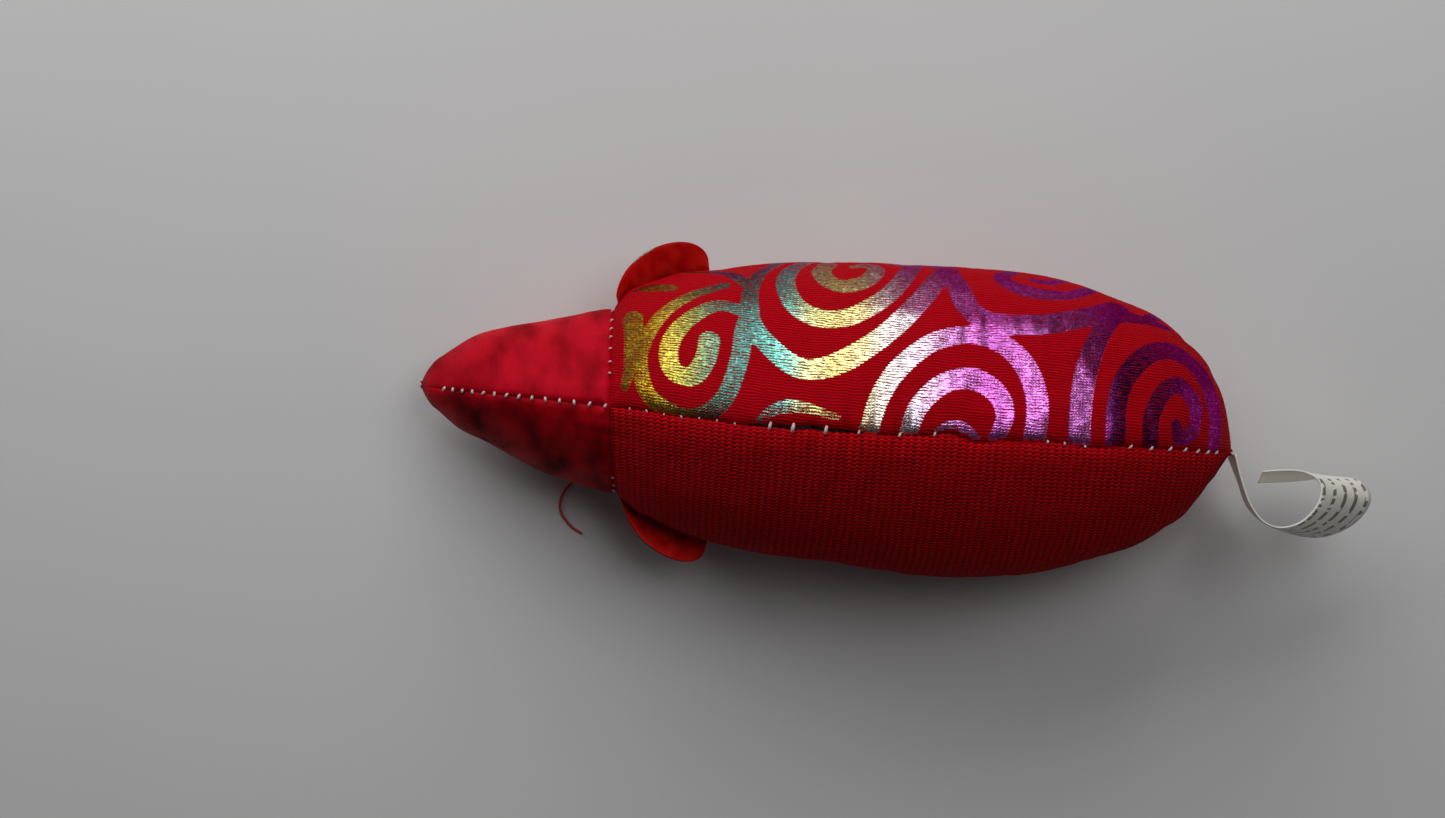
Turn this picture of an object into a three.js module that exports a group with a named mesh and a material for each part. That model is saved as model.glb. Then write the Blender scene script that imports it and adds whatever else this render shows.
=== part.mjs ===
// A small stuffed cloth mouse, in millimetres, +Z up.
// The nose points to -X, the patterned flank is on +Y, and the belly rests on z = 0.
// The cover is sewn from flat cloth panels; each panel is a thin closed shell bent round
// one smooth body form, and neighbouring panels stop a hair short of their seam.
import * as THREE from "three";

// Driving dimensions
const NOSE_X = -75;
const REAR_X = 75;
const NECK_X = -38.5;
const NECK_SKEW = -0.09; // the neck ring sits further forward on the patterned side
const CLOTH = 0.8; // thickness of a panel
const SEAM_GAP = 0.2; // from a panel's edge to its seam line
const SEAM_BEVEL = 0.55; // a panel is trimmed further from the seam the deeper the seam sinks
const SEAM_DIP = 1.2; // how far a seam pulls the cloth in
const SEAM_REACH = 1.6; // how quickly the cloth swells out again beside a seam
const ROOMY_RADIUS = 6; // where the form is narrower, towards its tips, the cloth is drawn thinner
const NOSE_ROUND = 3;
const REAR_ROUND = 20;
const THREAD = 0.5; // diameter of the sewing thread
const FILLING_INSET = 3.2; // from the outside of the cloth to the packed fibre
const CLOSING_START = -14; // the hand-sewn closing seam on the back
const CLOSING_END = 20;
const EAR_LENGTH = 18.5;
const EAR_WIDTH = 13;
const EAR_LAYER = 0.7;
const EAR_GAP = 0.4;
const LABEL_THICKNESS = 0.4;

const { clamp, degToRad, lerp } = THREE.MathUtils;
const LEFT = 1; // +Y, the patterned flank
const RIGHT = -1;

// A smooth curve of values along the toy through the given [x, value] pairs.
function profile(...points) {
  const slopes = points.map((_, i) => {
    const before = points[Math.max(i - 1, 0)];
    const after = points[Math.min(i + 1, points.length - 1)];
    return (after[1] - before[1]) / (after[0] - before[0]);
  });
  return (x) => {
    let i = 0;
    while (i < points.length - 2 && x > points[i + 1][0]) i++;
    const span = points[i + 1][0] - points[i][0];
    const t = clamp((x - points[i][0]) / span, 0, 1);
    const rise = points[i + 1][1] - points[i][1];
    const ease = t * t * (3 - 2 * t);
    const leave = slopes[i] * span * t * (1 - t) ** 2;
    const arrive = slopes[i + 1] * span * t * t * (t - 1);
    return points[i][1] + rise * ease + leave + arrive;
  };
}

// The body form: half-widths, heights and seam lines along x
const halfWidth = {
  [LEFT]: profile([-75, 3.2], [-72, 5.2], [-65.7, 9.7], [-59.9, 11.8], [-51, 13.9], [-44, 15.8],
    [-39, 17.6], [-35.5, 20.8], [-31, 23], [-22, 25.6], [-3, 28.4], [20, 29.7], [41.5, 28.8],
    [56.6, 24.9], [64.4, 22.8], [72.6, 21], [75, 15]),
  [RIGHT]: profile([-75, 2.6], [-72, 4.4], [-67, 7.8], [-61, 10.1], [-52, 14.1], [-44.2, 16.4],
    [-38.5, 18], [-33, 20.6], [-18, 24.4], [5.5, 26.4], [20, 27.1], [33, 26.3], [43, 24.4],
    [53, 20.9], [63, 17], [68, 14.4], [72.6, 8.8], [75, 3]),
};
const widestZ = profile([-75, 11], [-60, 13], [-38.5, 16], [-20, 18], [0, 18.5], [60, 18], [75, 17]);
const heightAbove = profile([-75, 4], [-65, 12], [-55, 16.5], [-45, 18.8], [-38.5, 19.5], [-30, 23.5],
  [-15, 27], [5, 28.5], [25, 28], [45, 25], [60, 20], [70, 15.5], [75, 11]);
const depthBelow = profile([-75, 3.2], [-65, 7.6], [-55, 10.8], [-45, 13], [-38.5, 14.3], [-30, 19],
  [-15, 20.5], [40, 21], [55, 19.5], [65, 14], [75, 8]);
const ridge = profile([-75, 0.3], [-45, 0.4], [-38.5, 0.3], [-25, 0.18], [75, 0.15]);
const topSeamY = profile([-75, -0.6], [-40, -1.2], [-10, -2.4], [20, -1.6], [50, -0.5], [75, -0.3]);
const bellySeamDeg = profile([-38.5, 145], [-10, 132], [40, 132], [62, 145], [75, 168]);
const BOTTOM_FLATNESS = 0.8; // 1 is an ellipse, less is squarer

const quarterRound = (t) => Math.sqrt(1 - (1 - clamp(t, 0, 1)) ** 2);

// The share of its full size that the form has at x, because both tips are round.
const tipShare = (x) =>
  quarterRound((x - NOSE_X) / NOSE_ROUND) * quarterRound((REAR_X + 0.4 - x) / REAR_ROUND);

// A point of the smooth form at x and the angle round the section: 0 top, 90 side, 180 bottom.
function formPoint(side, x, angle) {
  const ends = tipShare(x);
  const sine = Math.max(Math.sin(angle), 0);
  const cosine = Math.cos(angle);
  const width = halfWidth[side](x) * ends;
  const roof = ridge(x);
  let y = side * width * sine ** (cosine > 0 ? 1 : BOTTOM_FLATNESS);
  let z = widestZ(x);
  if (cosine > 0) {
    y += topSeamY(x) * cosine * ends;
    z += heightAbove(x) * ends * ((1 - roof) * cosine + roof * (1 - sine));
  } else {
    z -= depthBelow(x) * ends * (-cosine) ** BOTTOM_FLATNESS;
  }
  const skew = NECK_SKEW * y * Math.exp(-(((x - NECK_X) / 14) ** 2));
  return new THREE.Vector3(x + skew, y, z);
}

// How far the seams near a point pull the cloth in.
function seamDip(side, x, angle) {
  const radius = halfWidth[side](x);
  const distances = [Math.abs(x - NECK_X), angle * radius];
  if (x < NECK_X) distances.push((Math.PI - angle) * radius);
  else distances.push(Math.abs(angle - degToRad(bellySeamDeg(x))) * radius * 0.8);
  return SEAM_DIP * Math.exp(-Math.min(...distances) / SEAM_REACH);
}

// A point of the cloth, this far under its outer face (negative is outside it). The toy
// stands on a flat floor, so nothing goes lower than that.
function clothPoint(side, x, angle, depth) {
  const stepX = 0.3;
  const stepAngle = 0.02;
  const point = formPoint(side, x, angle);
  const inwardX = x > 0 ? -stepX : stepX;
  const inwardAngle = angle > 1.5 ? -stepAngle : stepAngle;
  const alongX = formPoint(side, x + inwardX, angle).sub(point).multiplyScalar(Math.sign(inwardX));
  const round = formPoint(side, x, angle + inwardAngle).sub(point).multiplyScalar(Math.sign(inwardAngle));
  const inwards = alongX.cross(round).normalize().multiplyScalar(-side);
  const room = Math.min(halfWidth[side](x) * tipShare(x) / ROOMY_RADIUS, 1);
  point.addScaledVector(inwards, (seamDip(side, x, angle) + depth) * room);
  point.z = Math.max(point.z, depth);
  return point;
}

// Turns a geometry's faces out, whichever way its bending left them, and keeps only position.
function outward(geometry) {
  geometry.deleteAttribute("normal");
  geometry.deleteAttribute("uv");
  geometry.clearGroups();
  const position = geometry.attributes.position;
  if (!geometry.index) {
    geometry.setIndex([...Array(position.count).keys()]);
  }
  const index = geometry.index.array;
  const corner = [new THREE.Vector3(), new THREE.Vector3(), new THREE.Vector3()];
  let volume = 0;
  for (let i = 0; i < index.length; i += 3) {
    corner.forEach((vertex, k) => vertex.fromBufferAttribute(position, index[i + k]));
    volume += corner[0].dot(corner[1].clone().cross(corner[2]));
  }
  if (volume < 0) {
    for (let i = 0; i < index.length; i += 3) {
      [index[i], index[i + 1]] = [index[i + 1], index[i]];
    }
  }
  geometry.computeVertexNormals();
  return geometry;
}

// A thin closed sheet: a box of unit size bent so that (u, v, w) goes to place(u, v, w).
function bentSheet(columns, rows, place) {
  const geometry = new THREE.BoxGeometry(1, 1, 1, columns, rows, 1);
  const position = geometry.attributes.position;
  for (let i = 0; i < position.count; i++) {
    const point = place(position.getX(i) + 0.5, position.getY(i) + 0.5, position.getZ(i) + 0.5);
    position.setXYZ(i, point.x, point.y, point.z);
  }
  return outward(geometry);
}

const materials = {
  velour: new THREE.MeshStandardMaterial({ color: 0xb0101f, roughness: 0.7 }),
  printedKnit: new THREE.MeshStandardMaterial({ color: 0xa0303c, roughness: 0.5, metalness: 0.2 }),
  plainKnit: new THREE.MeshStandardMaterial({ color: 0x8e0713, roughness: 0.85 }),
  fibre: new THREE.MeshStandardMaterial({ color: 0xf1efe9, roughness: 1 }),
  whiteThread: new THREE.MeshStandardMaterial({ color: 0xe8ddd8, roughness: 0.7 }),
  redThread: new THREE.MeshStandardMaterial({ color: 0xa3131b, roughness: 0.8 }),
  satinRibbon: new THREE.MeshStandardMaterial({ color: 0xe9e6de, roughness: 0.45 }),
};

const mouse = new THREE.Group();

function add(name, geometry, material) {
  const mesh = new THREE.Mesh(geometry, material.clone());
  mesh.name = name;
  mouse.add(mesh);
}

// Crowds the grid lines towards both edges, where the seams bend the cloth most.
const towardsEdges = (t) => (1 - Math.cos(Math.PI * t)) / 2;

// One side panel of the cover: from startX to endX, and from one angle to another.
function panel(side, startX, endX, columns, rows, startAngle, endAngle) {
  return bentSheet(columns, rows, (u, v, w) => {
    const depth = w * CLOTH;
    const edge = SEAM_GAP + (SEAM_DIP + depth) * SEAM_BEVEL;
    const x = lerp(startX + edge, endX - edge, towardsEdges(u));
    const from = startAngle(x);
    const to = endAngle(x);
    const trim = Math.min(edge / (halfWidth[side](x) * tipShare(x)), (to - from) * 0.3);
    return clothPoint(side, x, lerp(from + trim, to - trim, towardsEdges(v)), depth);
  });
}

const top = () => 0;
const underneath = () => Math.PI;
const bellySeam = (x) => degToRad(bellySeamDeg(x));

function addCover() {
  for (const [side, word] of [[LEFT, "left"], [RIGHT, "right"]]) {
    add(`head_panel_${word}`, panel(side, NOSE_X, NECK_X, 12, 12, top, underneath), materials.velour);
  }
  add("body_panel_printed", panel(LEFT, NECK_X, REAR_X, 18, 12, top, bellySeam), materials.printedKnit);
  add("body_panel_plain", panel(RIGHT, NECK_X, REAR_X, 18, 12, top, bellySeam), materials.plainKnit);
}

// The belly panel spans both sides of the middle, between the two belly seams.
function addBelly() {
  const sheet = bentSheet(16, 12, (u, v, w) => {
    const depth = w * CLOTH;
    const edge = SEAM_GAP + (SEAM_DIP + depth) * SEAM_BEVEL;
    const x = lerp(NECK_X + edge, REAR_X - 2 - edge, towardsEdges(u));
    const side = v < 0.5 ? LEFT : RIGHT;
    const seam = bellySeam(x) + edge / halfWidth[side](x);
    const angle = lerp(seam, Math.PI, towardsEdges(Math.min(v, 1 - v)) * 2);
    return clothPoint(side, x, Math.min(angle, Math.PI), depth);
  });
  add("belly_panel", sheet, materials.plainKnit);
}

// The packed fibre: the body form, drawn in and rounded off at both ends.
function addFilling() {
  const geometry = new THREE.SphereGeometry(1, 18, 18);
  const position = geometry.attributes.position;
  for (let i = 0; i < position.count; i++) {
    const fromNose = Math.acos(clamp(position.getY(i), -1, 1));
    const angle = Math.atan2(Math.abs(position.getX(i)), position.getZ(i));
    const side = position.getX(i) < 0 ? RIGHT : LEFT;
    const x = lerp(NOSE_X + FILLING_INSET * 2, REAR_X - FILLING_INSET, (1 - Math.cos(fromNose)) / 2);
    const middle = new THREE.Vector3(x, 0, widestZ(x));
    const skin = clothPoint(side, x, angle, FILLING_INSET);
    const drawnIn = middle.lerp(skin, Math.sqrt(Math.max(Math.sin(fromNose), 0)));
    position.setXYZ(i, drawnIn.x, drawnIn.y, drawnIn.z);
  }
  add("fibre_filling", outward(geometry), materials.fibre);
}

// A thread: a six-sided tube along the points it passes through.
function threadTube(points, diameter, steps) {
  const section = new THREE.Shape();
  for (let i = 0; i < 6; i++) {
    const turn = (i / 6) * 2 * Math.PI;
    section[i ? "lineTo" : "moveTo"](Math.cos(turn) * diameter / 2, Math.sin(turn) * diameter / 2);
  }
  section.closePath();
  const extrudePath = new THREE.CatmullRomCurve3(points);
  return outward(new THREE.ExtrudeGeometry(section, { steps, bevelEnabled: false, extrudePath }));
}

// The points of a seam thread: it lies in the seam's valley, just clear of both panels.
function seamRoute(side, count, spot) {
  const lift = -(THREAD / 2 + 0.35);
  return [...Array(count).keys()].map((i) => {
    const { x, angle } = spot(i / (count - 1));
    return clothPoint(side, x, angle, lift);
  });
}

function addSeamThreads() {
  const along = (from, to, angle) => (t) => ({ x: lerp(from, to, t), angle: angle(lerp(from, to, t)) });
  const straight = [
    ["head_top_seam_thread", NOSE_X + 2, NECK_X - 1, top, 10],
    ["head_chin_seam_thread", NOSE_X + 2, NECK_X - 1, underneath, 10],
    ["body_top_seam_thread_front", NECK_X + 1, CLOSING_START - 0.5, top, 7],
    ["closing_seam_thread", CLOSING_START, CLOSING_END, top, 9],
    ["body_top_seam_thread_rear", CLOSING_END + 0.5, REAR_X - 1.5, top, 14],
  ];
  for (const [name, from, to, angle, count] of straight) {
    const route = seamRoute(RIGHT, count, along(from, to, angle));
    add(name, threadTube(route, THREAD, count * 2), materials.whiteThread);
  }
  for (const [side, word] of [[LEFT, "left"], [RIGHT, "right"]]) {
    const ring = seamRoute(side, 12, (t) => ({ x: NECK_X, angle: lerp(0.05, Math.PI - 0.05, t) }));
    add(`neck_seam_thread_${word}`, threadTube(ring, THREAD, 24), materials.whiteThread);
    const hem = seamRoute(side, 16, along(NECK_X + 3, REAR_X - 3, bellySeam));
    add(`belly_seam_thread_${word}`, threadTube(hem, THREAD, 32), materials.redThread);
  }
}

// An ear: two round-ended layers sewn into the neck seam. Its lower edge follows the flank
// and its upper edge leans out, so that it makes a shallow cup, open upwards.
const EARS = [
  { side: LEFT, word: "left", root: [-39.4, 17.9, 13], startDeg: 45, endDeg: 10, lean: 6, opening: 0.5 },
  { side: RIGHT, word: "right", root: [-36.6, -19.2, 13], startDeg: 30, endDeg: 11, lean: 5, opening: 1 },
];

// A point of an ear: p runs from its root to its tip, q from its lower edge to its upper edge.
function earPoint(ear, p, q, lift) {
  const parts = 8;
  const spot = new THREE.Vector2(0, 0);
  let heading = 0;
  for (let i = 0; i < parts; i++) {
    heading = degToRad(lerp(ear.startDeg, ear.endDeg, (p * (i + 0.5)) / parts));
    spot.x += Math.cos(heading) * p * EAR_LENGTH / parts;
    spot.y += Math.sin(heading) * p * EAR_LENGTH / parts;
  }
  const roundEnd = Math.sqrt(Math.max(1 - p ** 3, 0.02));
  const out = ear.lean * p ** ear.opening * q ** 1.5 * roundEnd + lift;
  const [x, y, z] = ear.root;
  return new THREE.Vector3(
    x + spot.x - Math.sin(heading) * out,
    y + ear.side * (spot.y + Math.cos(heading) * out),
    z + (q - 0.5) * EAR_WIDTH * roundEnd,
  );
}

function addEars() {
  for (const ear of EARS) {
    const layer = (inner) => bentSheet(8, 6, (u, v, w) =>
      earPoint(ear, u, v, inner + w * EAR_LAYER));
    add(`ear_${ear.word}_outer`, layer(0), materials.velour);
    add(`ear_${ear.word}_lining`, layer(EAR_LAYER + EAR_GAP), materials.printedKnit);
  }
}

// The care label: a satin ribbon sewn into the rear tip, curled up by its own set.
// Each pair is a point of its upper edge and the point of its lower edge across from it.
const LABEL_EDGES = [
  [[75.2, -0.3, 23.0], [75.6, -0.3, 11.6]],
  [[76.6, -4.6, 23.6], [78.2, -4.9, 11.6]],
  [[78.3, -9.0, 24.0], [80.6, -9.6, 12.0]],
  [[80.6, -11.9, 24.2], [84.0, -12.6, 12.6]],
  [[83.7, -12.8, 24.4], [89.5, -14.2, 13.8]],
  [[87.1, -11.6, 24.6], [94.6, -14.0, 15.6]],
  [[89.6, -8.8, 24.6], [99.2, -11.0, 17.6]],
  [[90.5, -5.9, 24.4], [101.4, -6.6, 18.6]],
  [[89.9, -3.7, 24.0], [99.6, -3.2, 17.0]],
  [[87.6, -2.4, 23.8], [94.6, -3.2, 14.2]],
  [[84.6, -2.6, 23.6], [88.4, -4.4, 12.4]],
  [[81.4, -3.4, 23.4], [82.4, -5.2, 11.6]],
];

function addLabel() {
  const edge = (which) => new THREE.CatmullRomCurve3(LABEL_EDGES.map((pair) => new THREE.Vector3(...pair[which])));
  const upper = edge(0);
  const lower = edge(1);
  const sheet = bentSheet(28, 2, (u, v, w) => {
    const ruling = lower.getPoint(u).sub(upper.getPoint(u));
    const heading = upper.getTangent(u).lerp(lower.getTangent(u), v);
    const normal = heading.cross(ruling).normalize();
    return upper.getPoint(u).addScaledVector(ruling, v).addScaledVector(normal, (w - 0.5) * LABEL_THICKNESS);
  });
  add("care_label", sheet, materials.satinRibbon);
}

// A loose end of sewing thread: out of the chin seam at the neck, down, and along the floor.
const LOOSE_THREAD_ROUTE = [
  [-42.6, -0.2, 1.6], [-43.8, -1.3, 1.0], [-45.6, -2.5, 0.6], [-47.0, -4.2, 0.45], [-47.4, -6.4, 0.45],
  [-46.7, -8.6, 0.45], [-45.6, -10.7, 0.45], [-45.0, -12.9, 0.45], [-45.5, -15.0, 0.45], [-46.5, -16.9, 0.45],
  [-47.6, -18.6, 0.45], [-48.1, -20.5, 0.5], [-47.8, -22.4, 0.6], [-46.7, -24.0, 0.6], [-45.2, -25.3, 0.5],
  [-43.4, -26.2, 0.5],
];

function addLooseThread() {
  const points = LOOSE_THREAD_ROUTE.map((point) => new THREE.Vector3(...point));
  add("loose_thread", threadTube(points, THREAD, 24), materials.redThread);
}

addCover();
addBelly();
addFilling();
addSeamThreads();
addEars();
addLabel();
addLooseThread();

export default mouse;
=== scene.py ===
# %% [markdown]
# # A stuffed cloth toy mouse
# The toy is a small fabric skin packed with fibre: two velour panels make the head, a foil-printed
# knit and a plain knit make the flanks, and a third knit panel closes the belly. The frame that
# this lesson loads holds plain solids of the right size. Every piece that shows is made again here,
# in the same place, with the folds, stitches and finishes that the plain solids leave out.

# %% The frame
import functools
import math
import bpy
import numpy as np
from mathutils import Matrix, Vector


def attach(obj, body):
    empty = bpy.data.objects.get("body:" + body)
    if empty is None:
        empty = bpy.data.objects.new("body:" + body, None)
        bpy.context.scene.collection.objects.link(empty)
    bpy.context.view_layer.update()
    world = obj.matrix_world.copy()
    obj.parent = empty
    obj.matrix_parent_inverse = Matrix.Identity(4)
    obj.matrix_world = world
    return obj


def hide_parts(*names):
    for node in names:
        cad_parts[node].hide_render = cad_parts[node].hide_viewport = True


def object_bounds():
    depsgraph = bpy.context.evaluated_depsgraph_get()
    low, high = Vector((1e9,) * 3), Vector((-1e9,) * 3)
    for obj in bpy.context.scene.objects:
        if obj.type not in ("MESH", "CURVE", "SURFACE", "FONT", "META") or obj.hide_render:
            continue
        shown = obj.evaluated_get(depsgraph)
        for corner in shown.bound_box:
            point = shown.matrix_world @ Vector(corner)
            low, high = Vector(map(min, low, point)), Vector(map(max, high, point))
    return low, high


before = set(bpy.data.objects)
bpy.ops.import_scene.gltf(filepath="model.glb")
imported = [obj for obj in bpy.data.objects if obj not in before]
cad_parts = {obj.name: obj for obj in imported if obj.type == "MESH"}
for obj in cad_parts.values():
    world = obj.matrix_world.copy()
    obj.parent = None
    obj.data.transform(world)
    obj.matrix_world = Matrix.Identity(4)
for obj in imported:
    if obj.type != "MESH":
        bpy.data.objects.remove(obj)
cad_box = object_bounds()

MM = 0.001
LEFT, RIGHT = 1, -1
print("frame from", [round(v, 4) for v in cad_box[0]], "to", [round(v, 4) for v in cad_box[1]])

# %% [markdown]
# ## The camera
# A toy lying on a table is easiest to read from straight above. A normal 50 mm lens at arm's
# length keeps its proportions true. The camera leans a few degrees round its own axis, so the toy
# doesn't sit quite square in the picture.

# %% The camera
CAMERA_PLACE = (-18.5, 0, 387)
CAMERA_TURN_DEG = 4.87
LENS, SENSOR_WIDTH = 50, 36

camera_data = bpy.data.cameras.new("camera")
camera_data.lens = LENS
camera_data.sensor_width = SENSOR_WIDTH
camera = bpy.data.objects.new("camera", camera_data)
camera.location = [v * MM for v in CAMERA_PLACE]
camera.rotation_euler = (0, 0, math.radians(CAMERA_TURN_DEG))
bpy.context.scene.collection.objects.link(camera)
bpy.context.scene.camera = camera
print("camera", round(camera.location.z, 3), "m above the floor")

# %% [markdown]
# ## The loose thread
# One end of the red sewing thread was never trimmed. It leaves the seam under the neck, drops to
# the floor and lies there in a loose hook. A curve with a round bevel is the natural way to make
# it: the curve's own length is the thread's length. It is made before the rest, because the room
# that it takes is checked first.

# %% The loose thread's route
THREAD = 0.5
LOOSE_THREAD_ROUTE = [
    (-42.6, -0.2, 1.6), (-43.8, -1.3, 1.0), (-45.6, -2.5, 0.6), (-47.0, -4.2, 0.45), (-47.4, -6.4, 0.45),
    (-46.7, -8.6, 0.45), (-45.6, -10.7, 0.45), (-45.0, -12.9, 0.45), (-45.5, -15.0, 0.45),
    (-46.5, -16.9, 0.45), (-47.6, -18.6, 0.45), (-48.1, -20.5, 0.5), (-47.8, -22.4, 0.6),
    (-46.7, -24.0, 0.6), (-45.2, -25.3, 0.5), (-43.4, -26.2, 0.5),
]


def thread_curve(name, route, diameter):
    """A round thread along a route in millimetres, smooth through every point."""
    curve = bpy.data.curves.new(name, "CURVE")
    curve.dimensions = "3D"
    curve.bevel_depth = diameter / 2 * MM
    curve.bevel_resolution = 3
    curve.use_fill_caps = True
    spline = curve.splines.new("BEZIER")
    spline.bezier_points.add(len(route) - 1)
    for point, place in zip(spline.bezier_points, route):
        point.co = [v * MM for v in place]
        point.handle_left_type = point.handle_right_type = "AUTO"
    piece = bpy.data.objects.new(name, curve)
    bpy.context.scene.collection.objects.link(piece)
    return piece


loose_thread = thread_curve("loose_thread_curve", LOOSE_THREAD_ROUTE, THREAD)

# %% [markdown]
# ## The shape of the cover
# A pattern cutter thinks of the skin as a tube whose width, height and roof change from nose to
# rear. So does this script: each of those is a smooth curve through a few driving sizes, and one
# function turns a place along the toy and an angle round it into a point. Working in millimetres
# keeps the numbers readable; they become metres only when a mesh is made.

# %% Smooth curves through driving sizes


def profile(*points):
    """A smooth curve through (x, value) points, for single values or whole arrays."""
    xs, ys = np.array(points, float).T
    before = np.maximum(np.arange(len(xs)) - 1, 0)
    after = np.minimum(np.arange(len(xs)) + 1, len(xs) - 1)
    slopes = (ys[after] - ys[before]) / (xs[after] - xs[before])

    def value(x):
        i = np.clip(np.searchsorted(xs, x) - 1, 0, len(xs) - 2)
        span = xs[i + 1] - xs[i]
        t = np.clip((x - xs[i]) / span, 0, 1)
        rise = (ys[i + 1] - ys[i]) * t * t * (3 - 2 * t)
        bend = slopes[i] * t * (1 - t) ** 2 + slopes[i + 1] * t * t * (t - 1)
        return ys[i] + rise + bend * span

    return value


NOSE_X, NECK_X, REAR_X = -75, -38.5, 75
half_width = {
    LEFT: profile(
        (-75, 3.2), (-72, 5.2), (-65.7, 9.7), (-59.9, 11.8), (-51, 13.9), (-44, 15.8), (-39, 17.6),
        (-35.5, 20.8), (-31, 23), (-22, 25.6), (-3, 28.4), (20, 29.7), (41.5, 28.8), (56.6, 24.9),
        (64.4, 22.8), (72.6, 21), (75, 15)),
    RIGHT: profile(
        (-75, 2.6), (-72, 4.4), (-67, 7.8), (-61, 10.1), (-52, 14.1), (-44.2, 16.4), (-38.5, 18),
        (-33, 20.6), (-18, 24.4), (5.5, 26.4), (20, 27.1), (33, 26.3), (43, 24.4), (53, 20.9),
        (63, 17), (68, 14.4), (72.6, 8.8), (75, 3)),
}
widest_z = profile((-75, 11), (-60, 13), (-38.5, 16), (-20, 18), (0, 18.5), (60, 18), (75, 17))
height_above = profile(
    (-75, 4), (-65, 12), (-55, 16.5), (-45, 18.8), (-38.5, 19.5), (-30, 23.5), (-15, 27), (5, 28.5),
    (25, 28), (45, 25), (60, 20), (70, 15.5), (75, 11))
depth_below = profile(
    (-75, 3.2), (-65, 7.6), (-55, 10.8), (-45, 13), (-38.5, 14.3), (-30, 19), (-15, 20.5), (40, 21),
    (55, 19.5), (65, 14), (75, 8))
roof_share = profile((-75, 0.3), (-45, 0.4), (-38.5, 0.3), (-25, 0.18), (75, 0.15))
top_seam_y = profile((-75, -0.6), (-40, -1.2), (-10, -2.4), (20, -1.6), (50, -0.5), (75, -0.3))
belly_seam_deg = profile((-38.5, 145), (-10, 132), (40, 132), (62, 145), (75, 168))
widest_x = 20.0
print("widest:", round(float(half_width[LEFT](widest_x) + half_width[RIGHT](widest_x)), 1), "mm")

# %% [markdown]
# ## Seams that wander
# The closing seam on the back was sewn by hand after stuffing, so it isn't straight: the plain
# cloth humps over it in one place and the printed cloth in another. The wander moves both panels
# together, and fades out a few millimetres from the seam. The opening is the same idea with the
# two edges moved apart.

# %% The form
NECK_SKEW = -0.09
NECK_SKEW_REACH = 14
NOSE_ROUND, REAR_ROUND = 3, 20
REAR_TIP = REAR_X + 0.4
FLANK_ROUND = 0.8
HAND_SEWN_WANDER = ((1.0, 20, 2.6), (-0.7, 26, 3), (0.5, -3, 2), (-0.5, 46, 6))
MACHINE_WANDER, MACHINE_WAVE = 0.12, 1.9
WANDER_REACH = 4
OPENING_MIDDLE, OPENING_REACH = -4.5, 10
OPENING_WIDTH = {LEFT: 0.5, RIGHT: 0.12}


def bump(x, centre, reach):
    """One smooth hump of height 1."""
    return np.exp(-(((x - centre) / reach) ** 2))


def quarter_round(t):
    return np.sqrt(1 - (1 - np.clip(t, 0, 1)) ** 2)


def tip_share(x):
    """How much of the full section is left close to the nose and the rear."""
    return quarter_round((x - NOSE_X) / NOSE_ROUND) * quarter_round((REAR_TIP - x) / REAR_ROUND)


def seam_wander(x):
    """How far the top seam strays sideways, in millimetres."""
    hand_sewn = sum(height * bump(x, centre, reach) for height, centre, reach in HAND_SEWN_WANDER)
    return hand_sewn + MACHINE_WANDER * np.sin(x / MACHINE_WAVE) * (x > NECK_X)


def seam_opening(side, x):
    """How far the closing seam's edge is pulled back from its line."""
    lens = np.sqrt(np.clip(1 - ((x - OPENING_MIDDLE) / OPENING_REACH) ** 2, 0, 1))
    return OPENING_WIDTH[side] * lens


def form_point(side, x, angle):
    """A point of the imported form: angle 0 is the top seam and pi is underneath."""
    ends = tip_share(x)
    width = half_width[side](x) * ends
    across, upright = np.maximum(np.sin(angle), 0), np.cos(angle)
    roof = roof_share(x)
    above = upright > 0
    y = side * width * across ** np.where(above, 1, FLANK_ROUND)
    y = y + np.where(above, top_seam_y(x) * upright * ends, 0)
    near_seam = np.exp(-angle * width / WANDER_REACH) * ends
    y = y + np.where(above, (seam_wander(x) + side * seam_opening(side, x)) * near_seam, 0)
    rise = height_above(x) * ends * ((1 - roof) * upright + roof * (1 - across))
    drop = depth_below(x) * ends * np.abs(upright) ** FLANK_ROUND
    z = widest_z(x) + np.where(above, rise, -drop)
    skewed_x = x + NECK_SKEW * y * bump(x, NECK_X, NECK_SKEW_REACH)
    return np.stack([skewed_x, y, z], -1)


print("top of the back:", np.round(form_point(LEFT, np.array(10.0), np.array(0.0)), 1))

# %% [markdown]
# ## Valleys, puckers and the floor
# Stuffing pushes a panel out and its seams hold it in, so every seam lies in a sharp valley with a
# softer hollow beside it. Thread pulled tight also gathers the cloth into small radial puckers.
# Both move the cloth towards the core of its own section. That direction is the same for both
# panels at a seam, so their edges still meet exactly.

# %% The cloth
SHARP_DIP, SHARP_REACH = 0.95, 0.65
SOFT_DIP, SOFT_REACH = 0.65, 2.8
PUCKER_REACH = 5
PUCKER_PITCHES = (2.9, 4.3, 6.7, 10.3)
HEAD_PUCKER, BACK_PUCKER, HAND_SEWN_PUCKER = 0.07, 0.09, 0.34
HAND_SEWN_MIDDLE, HAND_SEWN_REACH = 3, 17
NECK_PUCKER, LOW_PUCKER = 0.14, 0.12
TOP_SEED, NECK_SEED, LOW_SEED = 11, 12, 13
NECK_RADIUS = 20
BELLY_SLOPE = 0.8
ROOMY_RADIUS = 6
CORE_SPREAD = 0.15
FLOOR_GAP = 0.02


def unit(vectors):
    """The same directions, 1 long."""
    return vectors / (np.linalg.norm(vectors, axis=-1, keepdims=True) + 1e-6)


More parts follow.
